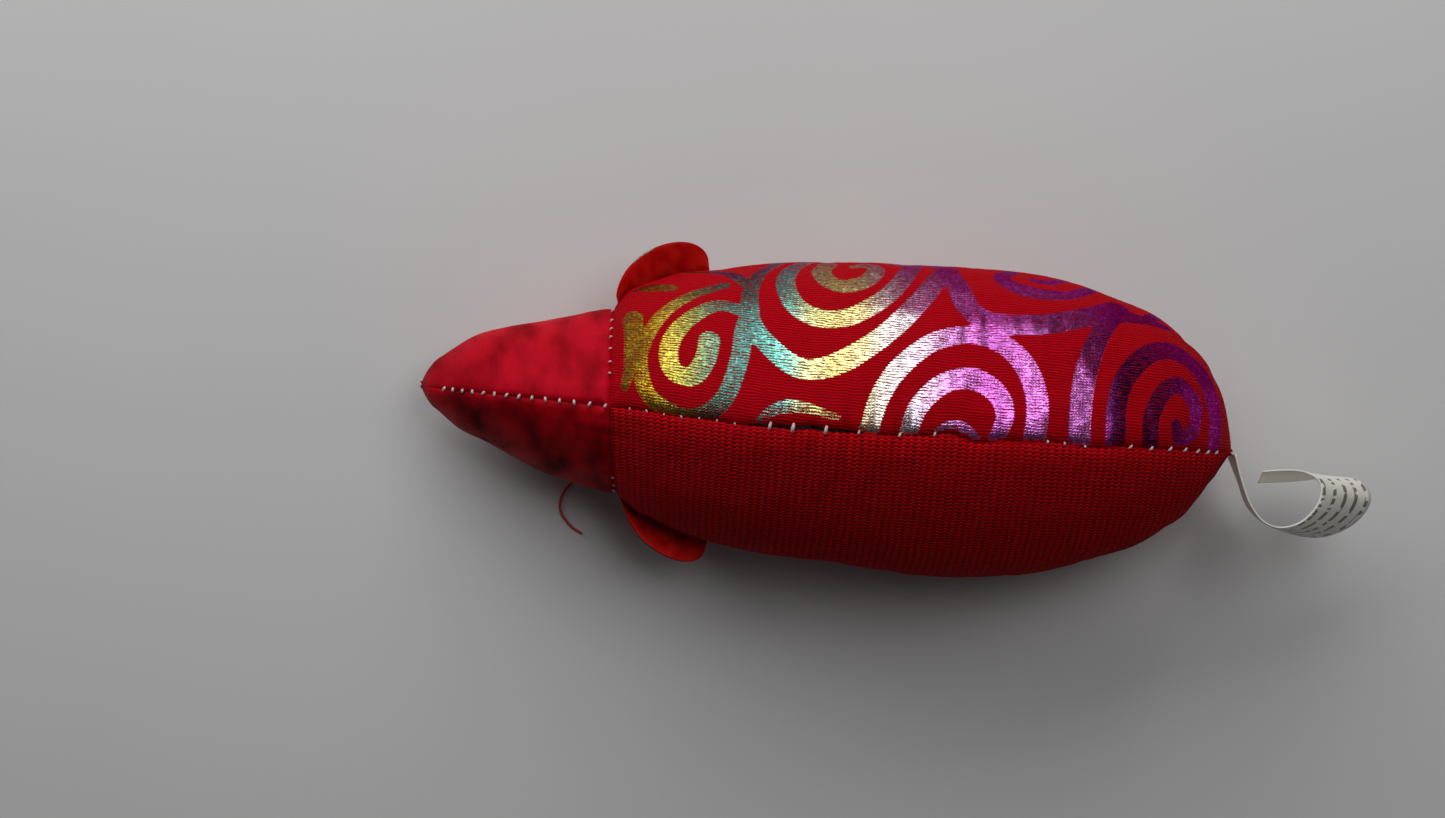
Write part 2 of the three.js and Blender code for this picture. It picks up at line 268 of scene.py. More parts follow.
def seam_distances(side, x, angle):
    """Distances to the nearest seam, to the top seam, to the neck and to the lower seam."""
    radius = half_width[side](x) * tip_share(x)
    to_top = angle * radius
    to_neck = np.abs(x - NECK_X)
    belly = np.radians(belly_seam_deg(x))
    to_low = np.where(x < NECK_X, np.pi - angle, np.abs(angle - belly) * BELLY_SLOPE) * radius
    return np.minimum(np.minimum(to_top, to_neck), to_low), to_top, to_neck, to_low


def puckers(x, reach_share, seed):
    """Small gathers across a seam, as a sum of waves with seeded phases."""
    phases = np.random.default_rng(seed).uniform(0, 2 * np.pi, len(PUCKER_PITCHES))
    waves = sum(np.sin(2 * np.pi * x / p + f) for p, f in zip(PUCKER_PITCHES, phases))
    return waves / 2 * reach_share


def gathers(side, x, angle):
    """The depth of all the puckers at a point of the cover."""
    near_top, near_neck, near_low = (np.exp(-d / PUCKER_REACH) for d in seam_distances(side, x, angle)[1:])
    back = BACK_PUCKER + HAND_SEWN_PUCKER * bump(x, HAND_SEWN_MIDDLE, HAND_SEWN_REACH)
    total = np.where(x < NECK_X, HEAD_PUCKER, back) * puckers(x, near_top, TOP_SEED)
    total = total + NECK_PUCKER * puckers(angle * NECK_RADIUS, near_neck, NECK_SEED)
    return total + LOW_PUCKER * puckers(x, near_low, LOW_SEED)


settled = {}


def settled_offset(side, x, angle):
    """How far the simulated cloth moved at a point, or nothing before it has run."""
    if side not in settled:
        return 0.0
    columns, rows, moved = settled[side]
    i = np.interp(x, columns, np.arange(len(columns)))
    j = np.interp(angle, rows, np.arange(len(rows)))
    i0 = np.minimum(i.astype(int), len(columns) - 2)
    j0 = np.minimum(j.astype(int), len(rows) - 2)
    u, v = (i - i0)[..., None], (j - j0)[..., None]
    near = moved[i0, j0] * (1 - v) + moved[i0, j0 + 1] * v
    far = moved[i0 + 1, j0] * (1 - v) + moved[i0 + 1, j0 + 1] * v
    return near * (1 - u) + far * u


def cover_point(side, x, angle, lift=0.0):
    """A point of the finished cloth. A positive lift is outside it."""
    x, angle = np.broadcast_arrays(np.asarray(x, float), np.asarray(angle, float))
    point = form_point(side, x, angle) + settled_offset(side, x, angle)
    nearest = seam_distances(side, x, angle)[0]
    dip = SHARP_DIP * np.exp(-nearest / SHARP_REACH) + SOFT_DIP * np.exp(-nearest / SOFT_REACH)
    room = np.minimum(half_width[side](x) * tip_share(x) / ROOMY_RADIUS, 1)
    core_y = point[..., 1] * CORE_SPREAD + top_seam_y(x) * (1 - CORE_SPREAD)
    core = np.stack([point[..., 0], core_y, widest_z(x)], -1)
    depth = (dip + gathers(side, x, angle) - lift) * room
    point = point + unit(core - point) * depth[..., None]
    point[..., 2] = np.maximum(point[..., 2], FLOOR_GAP + max(-lift, 0))
    return point


# %% [markdown]
# ## Letting the cloth settle
# The form so far is as smooth as a balloon. Real knit is cut a little larger than its seams allow,
# so when fibre presses it out it bows and wrinkles between them. That is a job for the cloth
# simulation: a plain net of the whole cover, held along its seams, is given pressure from inside
# and cloth that is slightly too large. Only the folds are kept. They are added to the form, so
# the toy's outline stays the one that was set above.

# %% The net
NET_COLUMNS, NET_ROWS = 120, 44
NET_START, NET_END = -73.4, 74.6
HOLD_REACH = 1.6
NET_PRESSURE = 5.0
NET_GROWTH = -0.012
NET_FRAMES = 24
NET_QUALITY, NET_MASS = 6, 0.15
TENSION, SHEAR, BENDING, SEAM_HOLD = 12, 5, 0.03, 8
HEAD_FOLDS, BODY_FOLDS = 0.12, 0.4
NECK_FADE = 3
FOLD_CAP = 0.35
SMOOTHING_ROUNDS = 26


def net_points():
    """The cover as rings of points: down the left side and up the right."""
    x = np.linspace(NET_START, NET_END, NET_COLUMNS)
    angle = np.linspace(0, np.pi, NET_ROWS + 1)
    grid_x, grid_angle = np.meshgrid(x, angle, indexing="ij")
    points = {side: form_point(side, grid_x, grid_angle) for side in (LEFT, RIGHT)}
    for side in points:
        points[side][..., 2] = np.maximum(points[side][..., 2], 0)
    to_seam = {side: seam_distances(side, grid_x, grid_angle)[0] for side in points}
    hold = {side: np.exp(-(to_seam[side] / HOLD_REACH) ** 2) for side in points}
    return x, angle, points, hold


def ring_order(left, right):
    """One ring of values from the two sides, without the shared top and bottom twice."""
    return np.concatenate([left, right[:, -2:0:-1]], 1)


def ring_faces(rings, around):
    """Faces between rings of points, closed all the way round."""
    faces = []
    for i in range(rings - 1):
        for j in range(around):
            k = (j + 1) % around
            faces.append([i * around + j, i * around + k, (i + 1) * around + k, (i + 1) * around + j])
    return faces


def net_object(points, hold):
    """The net as a mesh with a vertex group that holds its seams and its two ends."""
    ring = ring_order(points[LEFT], points[RIGHT])
    held = ring_order(hold[LEFT], hold[RIGHT])
    held[0] = held[-1] = 1
    mesh = bpy.data.meshes.new("net")
    mesh.from_pydata((ring.reshape(-1, 3) * MM).tolist(), [], ring_faces(*held.shape))
    net = bpy.data.objects.new("net", mesh)
    bpy.context.scene.collection.objects.link(net)
    group = net.vertex_groups.new(name="seams")
    for index, weight in enumerate(held.ravel()):
        group.add([index], float(weight), "REPLACE")
    return net


def run_cloth(net):
    """Runs the simulation and returns the net's points in millimetres."""
    cloth = net.modifiers.new("cloth", "CLOTH")
    settings = cloth.settings
    settings.quality = NET_QUALITY
    settings.mass = NET_MASS
    settings.tension_stiffness = settings.compression_stiffness = TENSION
    settings.shear_stiffness = SHEAR
    settings.bending_stiffness = BENDING
    settings.vertex_group_mass = "seams"
    settings.pin_stiffness = SEAM_HOLD
    settings.use_pressure = True
    settings.uniform_pressure_force = NET_PRESSURE
    settings.shrink_min = NET_GROWTH
    settings.effector_weights.gravity = 0
    cloth.collision_settings.use_collision = False
    cloth.point_cache.frame_end = NET_FRAMES
    for step in range(1, NET_FRAMES + 1):
        bpy.context.scene.frame_set(step)
    shape = net.evaluated_get(bpy.context.evaluated_depsgraph_get()).to_mesh()
    points = np.zeros(len(shape.vertices) * 3, np.float32)
    shape.vertices.foreach_get("co", points)
    bpy.context.scene.frame_set(1)
    bpy.data.objects.remove(net)
    return points.reshape(-1, 3).astype(float) / MM


def smoothed(values):
    """Values on the rings, blurred until only the broad swelling is left."""
    for _ in range(SMOOTHING_ROUNDS):
        around = (np.roll(values, 1, 1) + values * 2 + np.roll(values, -1, 1)) / 4
        longer = np.concatenate([around[:1], around, around[-1:]])
        values = (longer[:-2] + longer[1:-1] * 2 + longer[2:]) / 4
    return values


def settle():
    """Fills settled with the folds of each side."""
    x, angle, points, hold = net_points()
    before = ring_order(points[LEFT], points[RIGHT])
    after = run_cloth(net_object(points, hold)).reshape(before.shape)
    moved = after - before
    free = 1 - ring_order(hold[LEFT], hold[RIGHT])[..., None]
    share = HEAD_FOLDS + (BODY_FOLDS - HEAD_FOLDS) / (1 + np.exp((NECK_X - x) / NECK_FADE))
    folds = (moved - smoothed(moved)) * free * share[:, None, None]
    size = np.linalg.norm(folds, axis=-1, keepdims=True)
    folds = folds * np.minimum(1, FOLD_CAP / (size + 1e-6))
    settled[LEFT] = (x, angle, folds[:, :NET_ROWS + 1])
    right = np.concatenate([folds[:, :1], folds[:, :NET_ROWS - 1:-1]], 1)
    settled[RIGHT] = (x, angle, right)
    print("cloth swelled", round(float(np.abs(moved).max()), 2), "mm")
    print("typical fold", round(float(np.sqrt((folds ** 2).sum(-1).mean())), 2), "mm")


settle()

# %% [markdown]
# ## From points to a mesh
# A panel is a grid of points, so its mesh can be written down directly. That gives full control
# over where the rows crowd together, which is at the seams, where the cloth bends most. Each point
# also carries its place on the flat cloth in millimetres. The knit is drawn from that, so that
# its rows follow the cloth and not the world.

# %% Grids, pieces and finishes


def grid_faces(columns, rows):
    """Faces of a columns by rows grid of points."""
    i, j = np.meshgrid(np.arange(columns - 1), np.arange(rows - 1), indexing="ij")
    corner = (i * rows + j).ravel()
    return np.stack([corner, corner + rows, corner + rows + 1, corner + 1], -1)


def make_piece(name, points, faces, **places):
    """A smooth mesh from points in millimetres. places are vectors kept at each point."""
    mesh = bpy.data.meshes.new(name)
    mesh.from_pydata((np.asarray(points) * MM).tolist(), [], [list(face) for face in faces])
    for key, values in places.items():
        attribute = mesh.attributes.new(key, "FLOAT_VECTOR", "POINT")
        attribute.data.foreach_set("vector", values.astype(np.float32).ravel())
    mesh.polygons.foreach_set("use_smooth", [True] * len(mesh.polygons))
    piece = bpy.data.objects.new(name, mesh)
    bpy.context.scene.collection.objects.link(piece)
    return piece


def thicken(piece, thickness):
    """Gives a single layer its cloth thickness, inwards."""
    solid = piece.modifiers.new("cloth thickness", "SOLIDIFY")
    solid.thickness = thickness * MM
    solid.offset = -1


def towards_edges(count):
    """Steps from 0 to 1 that crowd at both ends."""
    return (1 - np.cos(np.pi * np.linspace(0, 1, count))) / 2


# %% [markdown]
# ## One panel
# A sewn panel doesn't stop at its seam. Its edge turns in and hangs inside as the seam allowance,
# which is what closes the view down into the valley. Three extra rows along an edge make it.

# %% Panels with turned-in edges
CLOTH = 0.6
ALLOWANCE_STEPS = (0.5, 1.2, 2.4)
ALLOWANCE_GAP = 0.12


def turned_in(points, flat, widest):
    """Adds an allowance before the first row of a grid: it turns in towards the core."""
    edge, beside = points[:, 0], points[:, 3]
    core = np.stack([edge[:, 0], edge[:, 1] * CORE_SPREAD, widest], -1)
    inward = unit(core - edge)
    sideways = beside - edge
    sideways = unit(sideways - (sideways * inward).sum(-1, keepdims=True) * inward)
    room = np.clip(np.linalg.norm(core - edge, axis=-1, keepdims=True) / ROOMY_RADIUS / 2, 0, 1)
    rows = [edge + (inward * step + sideways * ALLOWANCE_GAP) * room for step in ALLOWANCE_STEPS]
    flats = [flat[:, 0] - np.array([0, step, 0]) for step in ALLOWANCE_STEPS]
    new_points = np.concatenate([np.stack(rows[::-1], 1), points], 1)
    return new_points, np.concatenate([np.stack(flats[::-1], 1), flat], 1)


def both_edges_turned_in(points, flat, widest):
    points, flat = turned_in(points, flat, widest)
    points, flat = turned_in(points[:, ::-1], flat[:, ::-1], widest)
    return points[:, ::-1], flat[:, ::-1]


def neck_edge_turned_in(points, flat, at_start):
    """The same along the neck, where the allowance is a row of columns."""
    if not at_start:
        points, flat = points[::-1], flat[::-1]
    turned = np.swapaxes(points, 0, 1), np.swapaxes(flat, 0, 1)
    widest = np.full(points.shape[1], float(widest_z(NECK_X)))
    points, flat = (np.swapaxes(grid, 0, 1) for grid in turned_in(*turned, widest))
    return (points, flat) if at_start else (points[::-1], flat[::-1])


def panel_grid(side, x, from_angle, to_angle, rows):
    """Points of a panel, and their places on the flat cloth: along, and across from its top.

    Where the top seam strays it takes up cloth, so the flat place at the edge isn't always 0.
    """
    share = towards_edges(rows)[None, :]
    angle = from_angle(x)[:, None] + (to_angle(x) - from_angle(x))[:, None] * share
    along = np.broadcast_to(x[:, None], angle.shape)
    points = cover_point(side, along, angle)
    stride = np.linalg.norm(np.diff(form_point(side, along, angle), axis=1), axis=-1)
    taken_up = (side * seam_wander(x) + seam_opening(side, x)) * tip_share(x)
    across = taken_up[:, None] + np.concatenate([np.zeros((len(x), 1)), np.cumsum(stride, 1)], 1)
    return points, np.stack([along, across, np.zeros_like(along)], -1)


def top_of_back(x):
    return np.zeros_like(x)


def underneath(x):
    return np.full_like(x, np.pi)


def belly_seam(x):
    return np.radians(belly_seam_deg(x))


def panel(name, side, x, low_seam, rows, neck_first):
    """A flank or a head side: its grid, its allowances and its mesh."""
    points, flat = panel_grid(side, x, top_of_back, low_seam, rows)
    points, flat = both_edges_turned_in(points, flat, widest_z(x))
    points, flat = neck_edge_turned_in(points, flat, neck_first)
    faces = grid_faces(*points.shape[:2])
    if side == RIGHT:
        faces = faces[:, ::-1]
    piece = make_piece(name, points.reshape(-1, 3), faces, cloth=flat.reshape(-1, 3))
    thicken(piece, CLOTH)
    return piece


# %% The four side panels and the belly
NOSE_TIP = NOSE_X + 0.02
BODY_TIP = REAR_TIP - 0.002
BODY_COLUMNS, HEAD_COLUMNS, TAIL_COLUMNS = 300, 130, 14
FLANK_ROWS, HEAD_ROWS, BELLY_ROWS = 116, 110, 40
EVEN_SHARE = 0.35
TAIL_LENGTH, LEAST_STEP = 1.2, 0.05

spread = EVEN_SHARE * np.linspace(0, 1, BODY_COLUMNS) + (1 - EVEN_SHARE) * towards_edges(BODY_COLUMNS)
body_x = np.minimum(NECK_X + (BODY_TIP - NECK_X) * spread, BODY_TIP)
tail_x = BODY_TIP - TAIL_LENGTH * (1 - np.linspace(0, 1, TAIL_COLUMNS)) ** 2
body_x = np.concatenate([body_x[body_x < tail_x[0] - LEAST_STEP], tail_x])
head_x = NOSE_TIP + (NECK_X - NOSE_TIP) * towards_edges(HEAD_COLUMNS)

printed_flank = panel("printed_flank", LEFT, body_x, belly_seam, FLANK_ROWS, True)
plain_flank = panel("plain_flank", RIGHT, body_x, belly_seam, FLANK_ROWS, True)
head_left = panel("head_side_left", LEFT, head_x, underneath, HEAD_ROWS, False)
head_right = panel("head_side_right", RIGHT, head_x, underneath, HEAD_ROWS, False)


def belly_piece(rows):
    """The belly panel spans both sides of the middle, between the two belly seams."""
    left, left_flat = panel_grid(LEFT, body_x, belly_seam, underneath, rows)
    right, right_flat = panel_grid(RIGHT, body_x, belly_seam, underneath, rows)
    points = np.concatenate([left, right[:, -2::-1]], 1)
    half = left_flat[:, -1:, 1:2]
    mirrored = right_flat[:, -2::-1] * np.array([1, -1, 1]) + half * np.array([0, 2, 0])
    flat = np.concatenate([left_flat, mirrored], 1)
    points, flat = both_edges_turned_in(points, flat, widest_z(body_x))
    points, flat = neck_edge_turned_in(points, flat, True)
    piece = make_piece("belly_cloth", points.reshape(-1, 3), grid_faces(*points.shape[:2]),
                       cloth=flat.reshape(-1, 3))
    thicken(piece, CLOTH)
    return piece


belly = belly_piece(BELLY_ROWS)

# %% [markdown]
# ## The foil swirls
# The print is one artwork of loose spirals and the arms that join them, in rainbow transfer foil.
# It could be painted as an image. Here each band is a smooth line on the flat cloth with a half
# width, and every point of the panel stores how deep inside the nearest band it lies. The
# material cuts that distance at zero, which gives a crisp edge at any size of picture.

# %% Bands of the print
# Each band: half widths at its start, middle and end, then points (along, down from the top seam).
SWIRL_BANDS = [
    ((1.8, 1.6, 1.2), [(-21.5, 15), (-22, 11), (-24, 7.5), (-27.2, 8), (-28.2, 12), (-26.5, 17.2),
                       (-22.5, 22), (-19.5, 23.3), (-16, 22)]),
    ((0.9, 1.5, 1.6), [(-19.5, 29.3), (-25, 25.5), (-29.5, 20), (-32.3, 13.5), (-33, 9), (-31.5, 3.2),
                       (-26.5, 0.2), (-22, 0.6), (-18.2, 4.5), (-16.3, 11.5), (-15.8, 18), (-15, 21)]),
    ((1.8, 1.6, 0.7), [(-34.6, 19), (-34.2, 14), (-34.6, 9), (-35.6, 4)]),
    ((0.6, 1.6, 1.0), [(-34.5, 28.3), (-31.5, 28.5), (-28.3, 28)]),
    ((1.7, 1.3, 0.9), [(-15, 21), (-15.2, 25), (-15, 29), (-13.8, 34), (-12, 38.5)]),
    ((1.7, 2.1, 1.8), [(-14.8, 20), (-13, 16.8), (-8.5, 12.5), (-4.5, 11), (0, 12.2), (5, 15.6),
                       (10.2, 21), (14.5, 27.3), (17.5, 33), (20, 38.5)]),
    ((1.2, 2.1, 1.6), [(-5.5, 42), (-8, 37), (-9.2, 31), (-7.5, 25), (-3.5, 22), (2, 22.6),
                       (7.5, 26.8), (11, 32), (14, 40.5)]),
    ((1.6, 2.0, 0.9), [(-1.5, 40), (-2.9, 35.5), (-1.2, 31.6), (1.5, 30.7), (5, 32.6), (6.8, 36.5),
                       (5.6, 39.6), (3, 38.6)]),
    ((0.6, 1.2, 0.5), [(-12, 1), (-10, 3), (-7, 4), (-3.5, 3.7), (1, 2.6)]),
    ((1.6, 1.9, 1.9), [(6.5, 0.5), (8, 6.5), (11, 12), (16.5, 17.5), (23, 19.7), (29, 17.9),
                       (33, 13.5), (35, 7.5), (35, 0.5)]),
    ((1.4, 2.1, 1.3), [(13.2, 0.3), (14.8, 5.3), (19, 9.7), (24, 10.8), (28, 8.3), (29.5, 4.2),
                       (28.4, 0.5)]),
    ((0.3, 0.8, 0.5), [(18, 1.2), (20.5, 2.4), (23.3, 1.6), (25, 0.2)]),
    ((1.9, 2.2, 2.3), [(19.8, 37.5), (21.2, 32), (22.8, 26.3), (26.5, 23), (33, 22.4), (39, 23.4),
                       (45, 25.6), (50.5, 29.5)]),
    ((1.3, 1.9, 1.2), [(31.5, 40), (29.4, 35.8), (32, 32.4), (37, 30.9), (42, 31.8), (46, 35.5)]),
    ((0.7, 1.4, 0.9), [(35, 36.5), (38, 36.2), (41, 38.5)]),
    ((1.9, 2.0, 1.5), [(43, 0.3), (42.7, 5), (43.3, 11), (45, 17.5), (48, 24), (51.2, 27.5)]),
    ((2.2, 1.3, 0.8), [(51.2, 27.5), (55.5, 26.7), (60.4, 26)]),
    ((1.8, 2.0, 1.3), [(49.4, 0.3), (49.3, 6.5), (51, 12.5), (55, 17.4), (59.5, 19.2), (64.5, 17.3),
                       (68.3, 12), (69.9, 6), (69.5, 0.5)]),
    ((1.5, 1.6, 1.0), [(56, 0.3), (56, 5.5), (58.3, 10.4), (61.5, 11.8), (64.6, 9), (65.2, 6),
                       (64, 3), (61.6, 2), (60.8, 4.4)]),
    ((1.0, 1.9, 1.8), [(-12, 38.5), (-9, 45), (-3, 50.5), (4, 52), (11, 49.5), (16.5, 44), (20, 38.5)]),
    ((1.3, 1.8, 1.6), [(-5.5, 42), (-1, 46), (4.5, 47), (10, 44.5), (14, 40.5)]),
    ((1.2, 1.8, 1.3), [(46, 35.5), (47.5, 41), (44, 46.5), (38, 48.5), (32.5, 45.5), (31.5, 40)]),
    ((0.9, 1.3, 0.8), [(41, 38.5), (41.5, 42), (38.5, 44), (36, 42)]),
    ((1.2, 1.8, 1.0), [(-15, 29), (-20, 35), (-27, 38), (-31, 44), (-28, 51), (-21, 53), (-16, 48.5),
                       (-18, 43.5), (-23, 44.5)]),
    ((1.2, 1.8, 1.0), [(55.5, 26.7), (60, 32), (61, 39), (57, 44), (52, 43), (51, 38), (54.5, 35.5)]),
]
BAND_STEPS = 90
FAR_OUTSIDE = -9.0


def smooth_line(points, count):
    """Places along a smooth line through given points, evenly spread between them."""
    points = np.array(points, float)
    knots = np.arange(len(points))
    t = np.linspace(0, len(points) - 1.0001, count)
    lines = [profile(*zip(knots, values))(t) for values in points.T]
    return np.stack(lines, -1)


def band_depth(flat, bands):
    """How deep inside the nearest band each point of the flat cloth lies."""
    depth = np.full(len(flat), FAR_OUTSIDE)
    for widths, line in bands:
        spine = smooth_line(line, BAND_STEPS)
        width = np.interp(np.linspace(0, 1, BAND_STEPS), (0, 0.5, 1), widths)
        for place, half in zip(spine, width):
            away = np.hypot(flat[:, 0] - place[0], flat[:, 1] - place[1])
            depth = np.maximum(depth, half - away)
    return depth


def store_band_depth(piece, bands):
    """Keeps the depth inside the print at every point of a piece."""
    flat = np.zeros(len(piece.data.vertices) * 3, np.float32)
    piece.data.attributes["cloth"].data.foreach_get("vector", flat)
    depth = band_depth(flat.reshape(-1, 3), bands)
    attribute = piece.data.attributes.new("print_depth", "FLOAT", "POINT")
    attribute.data.foreach_set("value", depth.astype(np.float32))
    return depth


depth_found = store_band_depth(printed_flank, SWIRL_BANDS)
print("share of the flank under foil:", round(float((depth_found > 0).mean()), 2))

# %% [markdown]
# ## Threads in the seams
# White machine stitches cross each seam like the rungs of a ladder. Each is a short piece of yarn
# that rises out of one panel, bends over the valley and goes into the other. A swept tube with
# thinner ends gives that shape, and all the rungs of one seam are one piece.

# %% Rungs of thread
RUNG_RINGS, RUNG_SIDES = 9, 8
RUNG_ROOT, END_THICKNESS = 0.25, 0.45


def swept_tube(points, radii, sides, up):
    """Points and faces of a closed tube along a line, round across."""
    points = np.asarray(points, float)
    ahead = unit(np.gradient(points, axis=0))
    beside = unit(np.cross(ahead, up))
    over = np.cross(beside, ahead)
    turn = np.linspace(0, 2 * np.pi, sides, endpoint=False)
    ring = beside[:, None] * np.cos(turn)[None, :, None] + over[:, None] * np.sin(turn)[None, :, None]
    skin = points[:, None] + ring * np.asarray(radii)[:, None, None]
    vertices = np.concatenate([skin.reshape(-1, 3), points[:1], points[-1:]])
    faces = ring_faces(len(points), sides)
    last = (len(points) - 1) * sides
    for j in range(sides):
        k = (j + 1) % sides
        faces.append([len(vertices) - 2, k, j])
        faces.append([len(vertices) - 1, last + j, last + k])
    return vertices, faces


def rung(start, end, up, width, rise):
    """One stitch from a hole in one panel to a hole in the other."""
    t = np.linspace(0, 1, RUNG_RINGS)[:, None]
    arch = np.sin(np.pi * t) ** 0.7 * rise - RUNG_ROOT
    line = start * (1 - t) + end * t + np.asarray(up) * arch
    plump = END_THICKNESS + (1 - END_THICKNESS) * np.sin(np.pi * t[:, 0]) ** 0.5
    return swept_tube(line, width / 2 * plump, RUNG_SIDES, up)


def thread_piece(name, rungs):
    """All the rungs of one seam as one piece."""
    vertices, faces, offset = [], [], 0
    for points, polygons in rungs:
        vertices.append(points)
        faces += [[index + offset for index in face] for face in polygons]
        offset += len(points)
    return make_piece(name, np.concatenate(vertices), faces)


# %% [markdown]
# The top seam runs straight along the toy, so each rung needs only its place along it, how far it
# reaches down on each side, and how much it slants. Machine stitches are even; the hand-sewn ones
# over the stuffing opening are longer, fatter and far apart.

# %% Stitches of the straight seams


def top_rung(x, reach, width, rise, slant=0.0, under=False):
    """A rung across the top seam at x, or across the seam under the head."""
    ends = []
    for side in (LEFT, RIGHT):
        place = x + side * slant
        angle = reach / (half_width[side](place) * max(float(tip_share(place)), 0.1))
        ends.append(cover_point(side, place, np.pi - angle if under else angle))
    return rung(*ends, np.array([0, 0, -1.0 if under else 1.0]), width, rise)


rng = np.random.default_rng(5)
HEAD_STITCHES = [-69.7 + 1.85 * i + 0.038 * i * i for i in range(14)]
FRONT_STITCHES = [-34.8 + 3.1 * i for i in range(7)]
# The places, reaches and widths of the hand-sewn stitches, then places, reaches and slants.
CLOSING_STITCHES = [(-10.2, 0.5, 0.55), (-6.3, 0.6, 0.62), (-0.7, 0.55, 0.6), (4.9, 0.25, 0.38),
                    (11.9, 0.35, 0.48)]
REAR_STITCHES = [(17.8, 0.35, 0.1), (37.4, 0.3, 0.0), (40.4, 0.25, 0.0), (44.1, 0.2, 0.0),
                 (52.4, 0.35, 0.3), (56.3, 0.4, 0.3), (60.0, 0.4, 0.35), (63.2, 0.4, 0.35),
                 (66.0, 0.4, 0.4), (68.4, 0.38, 0.4), (70.7, 0.35, 0.4)]

head_top_thread = thread_piece("head_top_stitches", [
    top_rung(x, 0.4 + rng.uniform(-0.08, 0.08), 0.5, 0.7, rng.uniform(-0.1, 0.25))
    for x in HEAD_STITCHES])
front_thread = thread_piece("front_seam_stitches", [
    top_rung(x, 0.25, 0.3, 0.25, rng.uniform(-0.15, 0.15)) for x in FRONT_STITCHES])
closing_thread = thread_piece("closing_stitches", [
    top_rung(x, reach, width, 0.8, 0.12) for x, reach, width in CLOSING_STITCHES])
rear_thread = thread_piece("rear_seam_stitches", [
    top_rung(x, reach, 0.42, 0.6, slant) for x, reach, slant in REAR_STITCHES])
chin_thread = thread_piece("chin_stitches", [
    top_rung(x, 0.5, 0.5, 0.6, under=True) for x in HEAD_STITCHES[1:]])
print("stitches on the head:", len(HEAD_STITCHES))

# %% Stitches of the neck and the belly


def long_rung(side, x, angle_at, reach, width, rise):
    """A stitch that runs along the toy: across the neck seam, or lying in the belly seam."""
    start, end = (cover_point(side, place, angle_at(place)) for place in (x - reach, x + reach))
    up = unit((start + end) / 2 - np.array([x, 0, float(widest_z(x))]))
    return rung(start, end, up, width, rise)


NECK_ANGLES = {LEFT: (0.35, 0.48, 0.64, 0.79, 0.93, 1.1, 1.4, 1.75, 2.1, 2.45, 2.8),
               RIGHT: (0.9, 1.08, 1.24, 1.4, 1.75, 2.1, 2.45, 2.8)}
BELLY_STITCHES = np.arange(NECK_X + 4, REAR_X - 6, 2.6)
neck_threads, belly_threads = {}, {}
for side, word in ((LEFT, "left"), (RIGHT, "right")):
    neck_threads[side] = thread_piece(f"neck_stitches_{word}", [
        long_rung(side, NECK_X, lambda x: angle, 0.28, 0.36, 0.4) for angle in NECK_ANGLES[side]])
for side, word in ((LEFT, "left"), (RIGHT, "right")):
    belly_threads[side] = thread_piece(f"belly_stitches_{word}", [
        long_rung(side, x, belly_seam, 0.8, 0.45, 0.5) for x in BELLY_STITCHES])
print("stitches round the neck:", sum(len(angles) for angles in NECK_ANGLES.values()))

# %% [markdown]
# ## The ears
# An ear is a small padded flap: a velour back and a printed front sewn together round the rim and
# caught in the neck seam. Its lower edge lies along the flank and its upper edge leans out, so it
# makes a shallow cup. The two faces are puffed apart between shared edges, which is what gives a
# sewn flap its soft rolled rim.

# %% Ears
EAR_LENGTH, EAR_WIDTH = 18.5, 13
EAR_MIDDLE, EAR_PUFF = 0.95, 0.95
EAR_TUCK = 3.6
EAR_BENDS = 24
ROOT_SHARE = 0.45
WRINKLE_DEPTH = 0.12
PRINT_START = -24
EARS = {
    LEFT: dict(word="left", root=(-39.4, 17.9, 13), start=45, end=10, lean=6, opening=0.5, caught=1.2),
    RIGHT: dict(word="right", root=(-36.6, -19.2, 13), start=30, end=11, lean=5, opening=1, caught=2.6),
}


def ear_points(side, p, q, lift):
    """p runs from root to tip, q from the lower edge to the upper edge, lift from the flank out."""
    ear = EARS[side]
    run = np.zeros(p.shape + (2,))
    for i in range(EAR_BENDS):
        heading = np.radians(ear["start"] + (ear["end"] - ear["start"]) * p * (i + 0.5) / EAR_BENDS)
        run += np.stack([np.cos(heading), np.sin(heading)], -1) * (p * EAR_LENGTH / EAR_BENDS)[..., None]
    heading = np.radians(ear["start"] + (ear["end"] - ear["start"]) * p)
    round_end = np.sqrt(np.maximum(1 - p ** 3, 0))
    tuck = EAR_TUCK * (1 - q) ** 1.5 * np.clip(3 * p, 0, 1)
    tuck = tuck + ear["caught"] * np.clip(1 - p / ROOT_SHARE, 0, 1) ** 1.5
    out = ear["lean"] * p ** ear["opening"] * q ** 1.5 * round_end - tuck + lift
    x, y, z = ear["root"]
    return np.stack([
        x + run[..., 0] - np.sin(heading) * out,
        y + side * (run[..., 1] + np.cos(heading) * out),
        z + (q - 0.5) * EAR_WIDTH * round_end], -1)


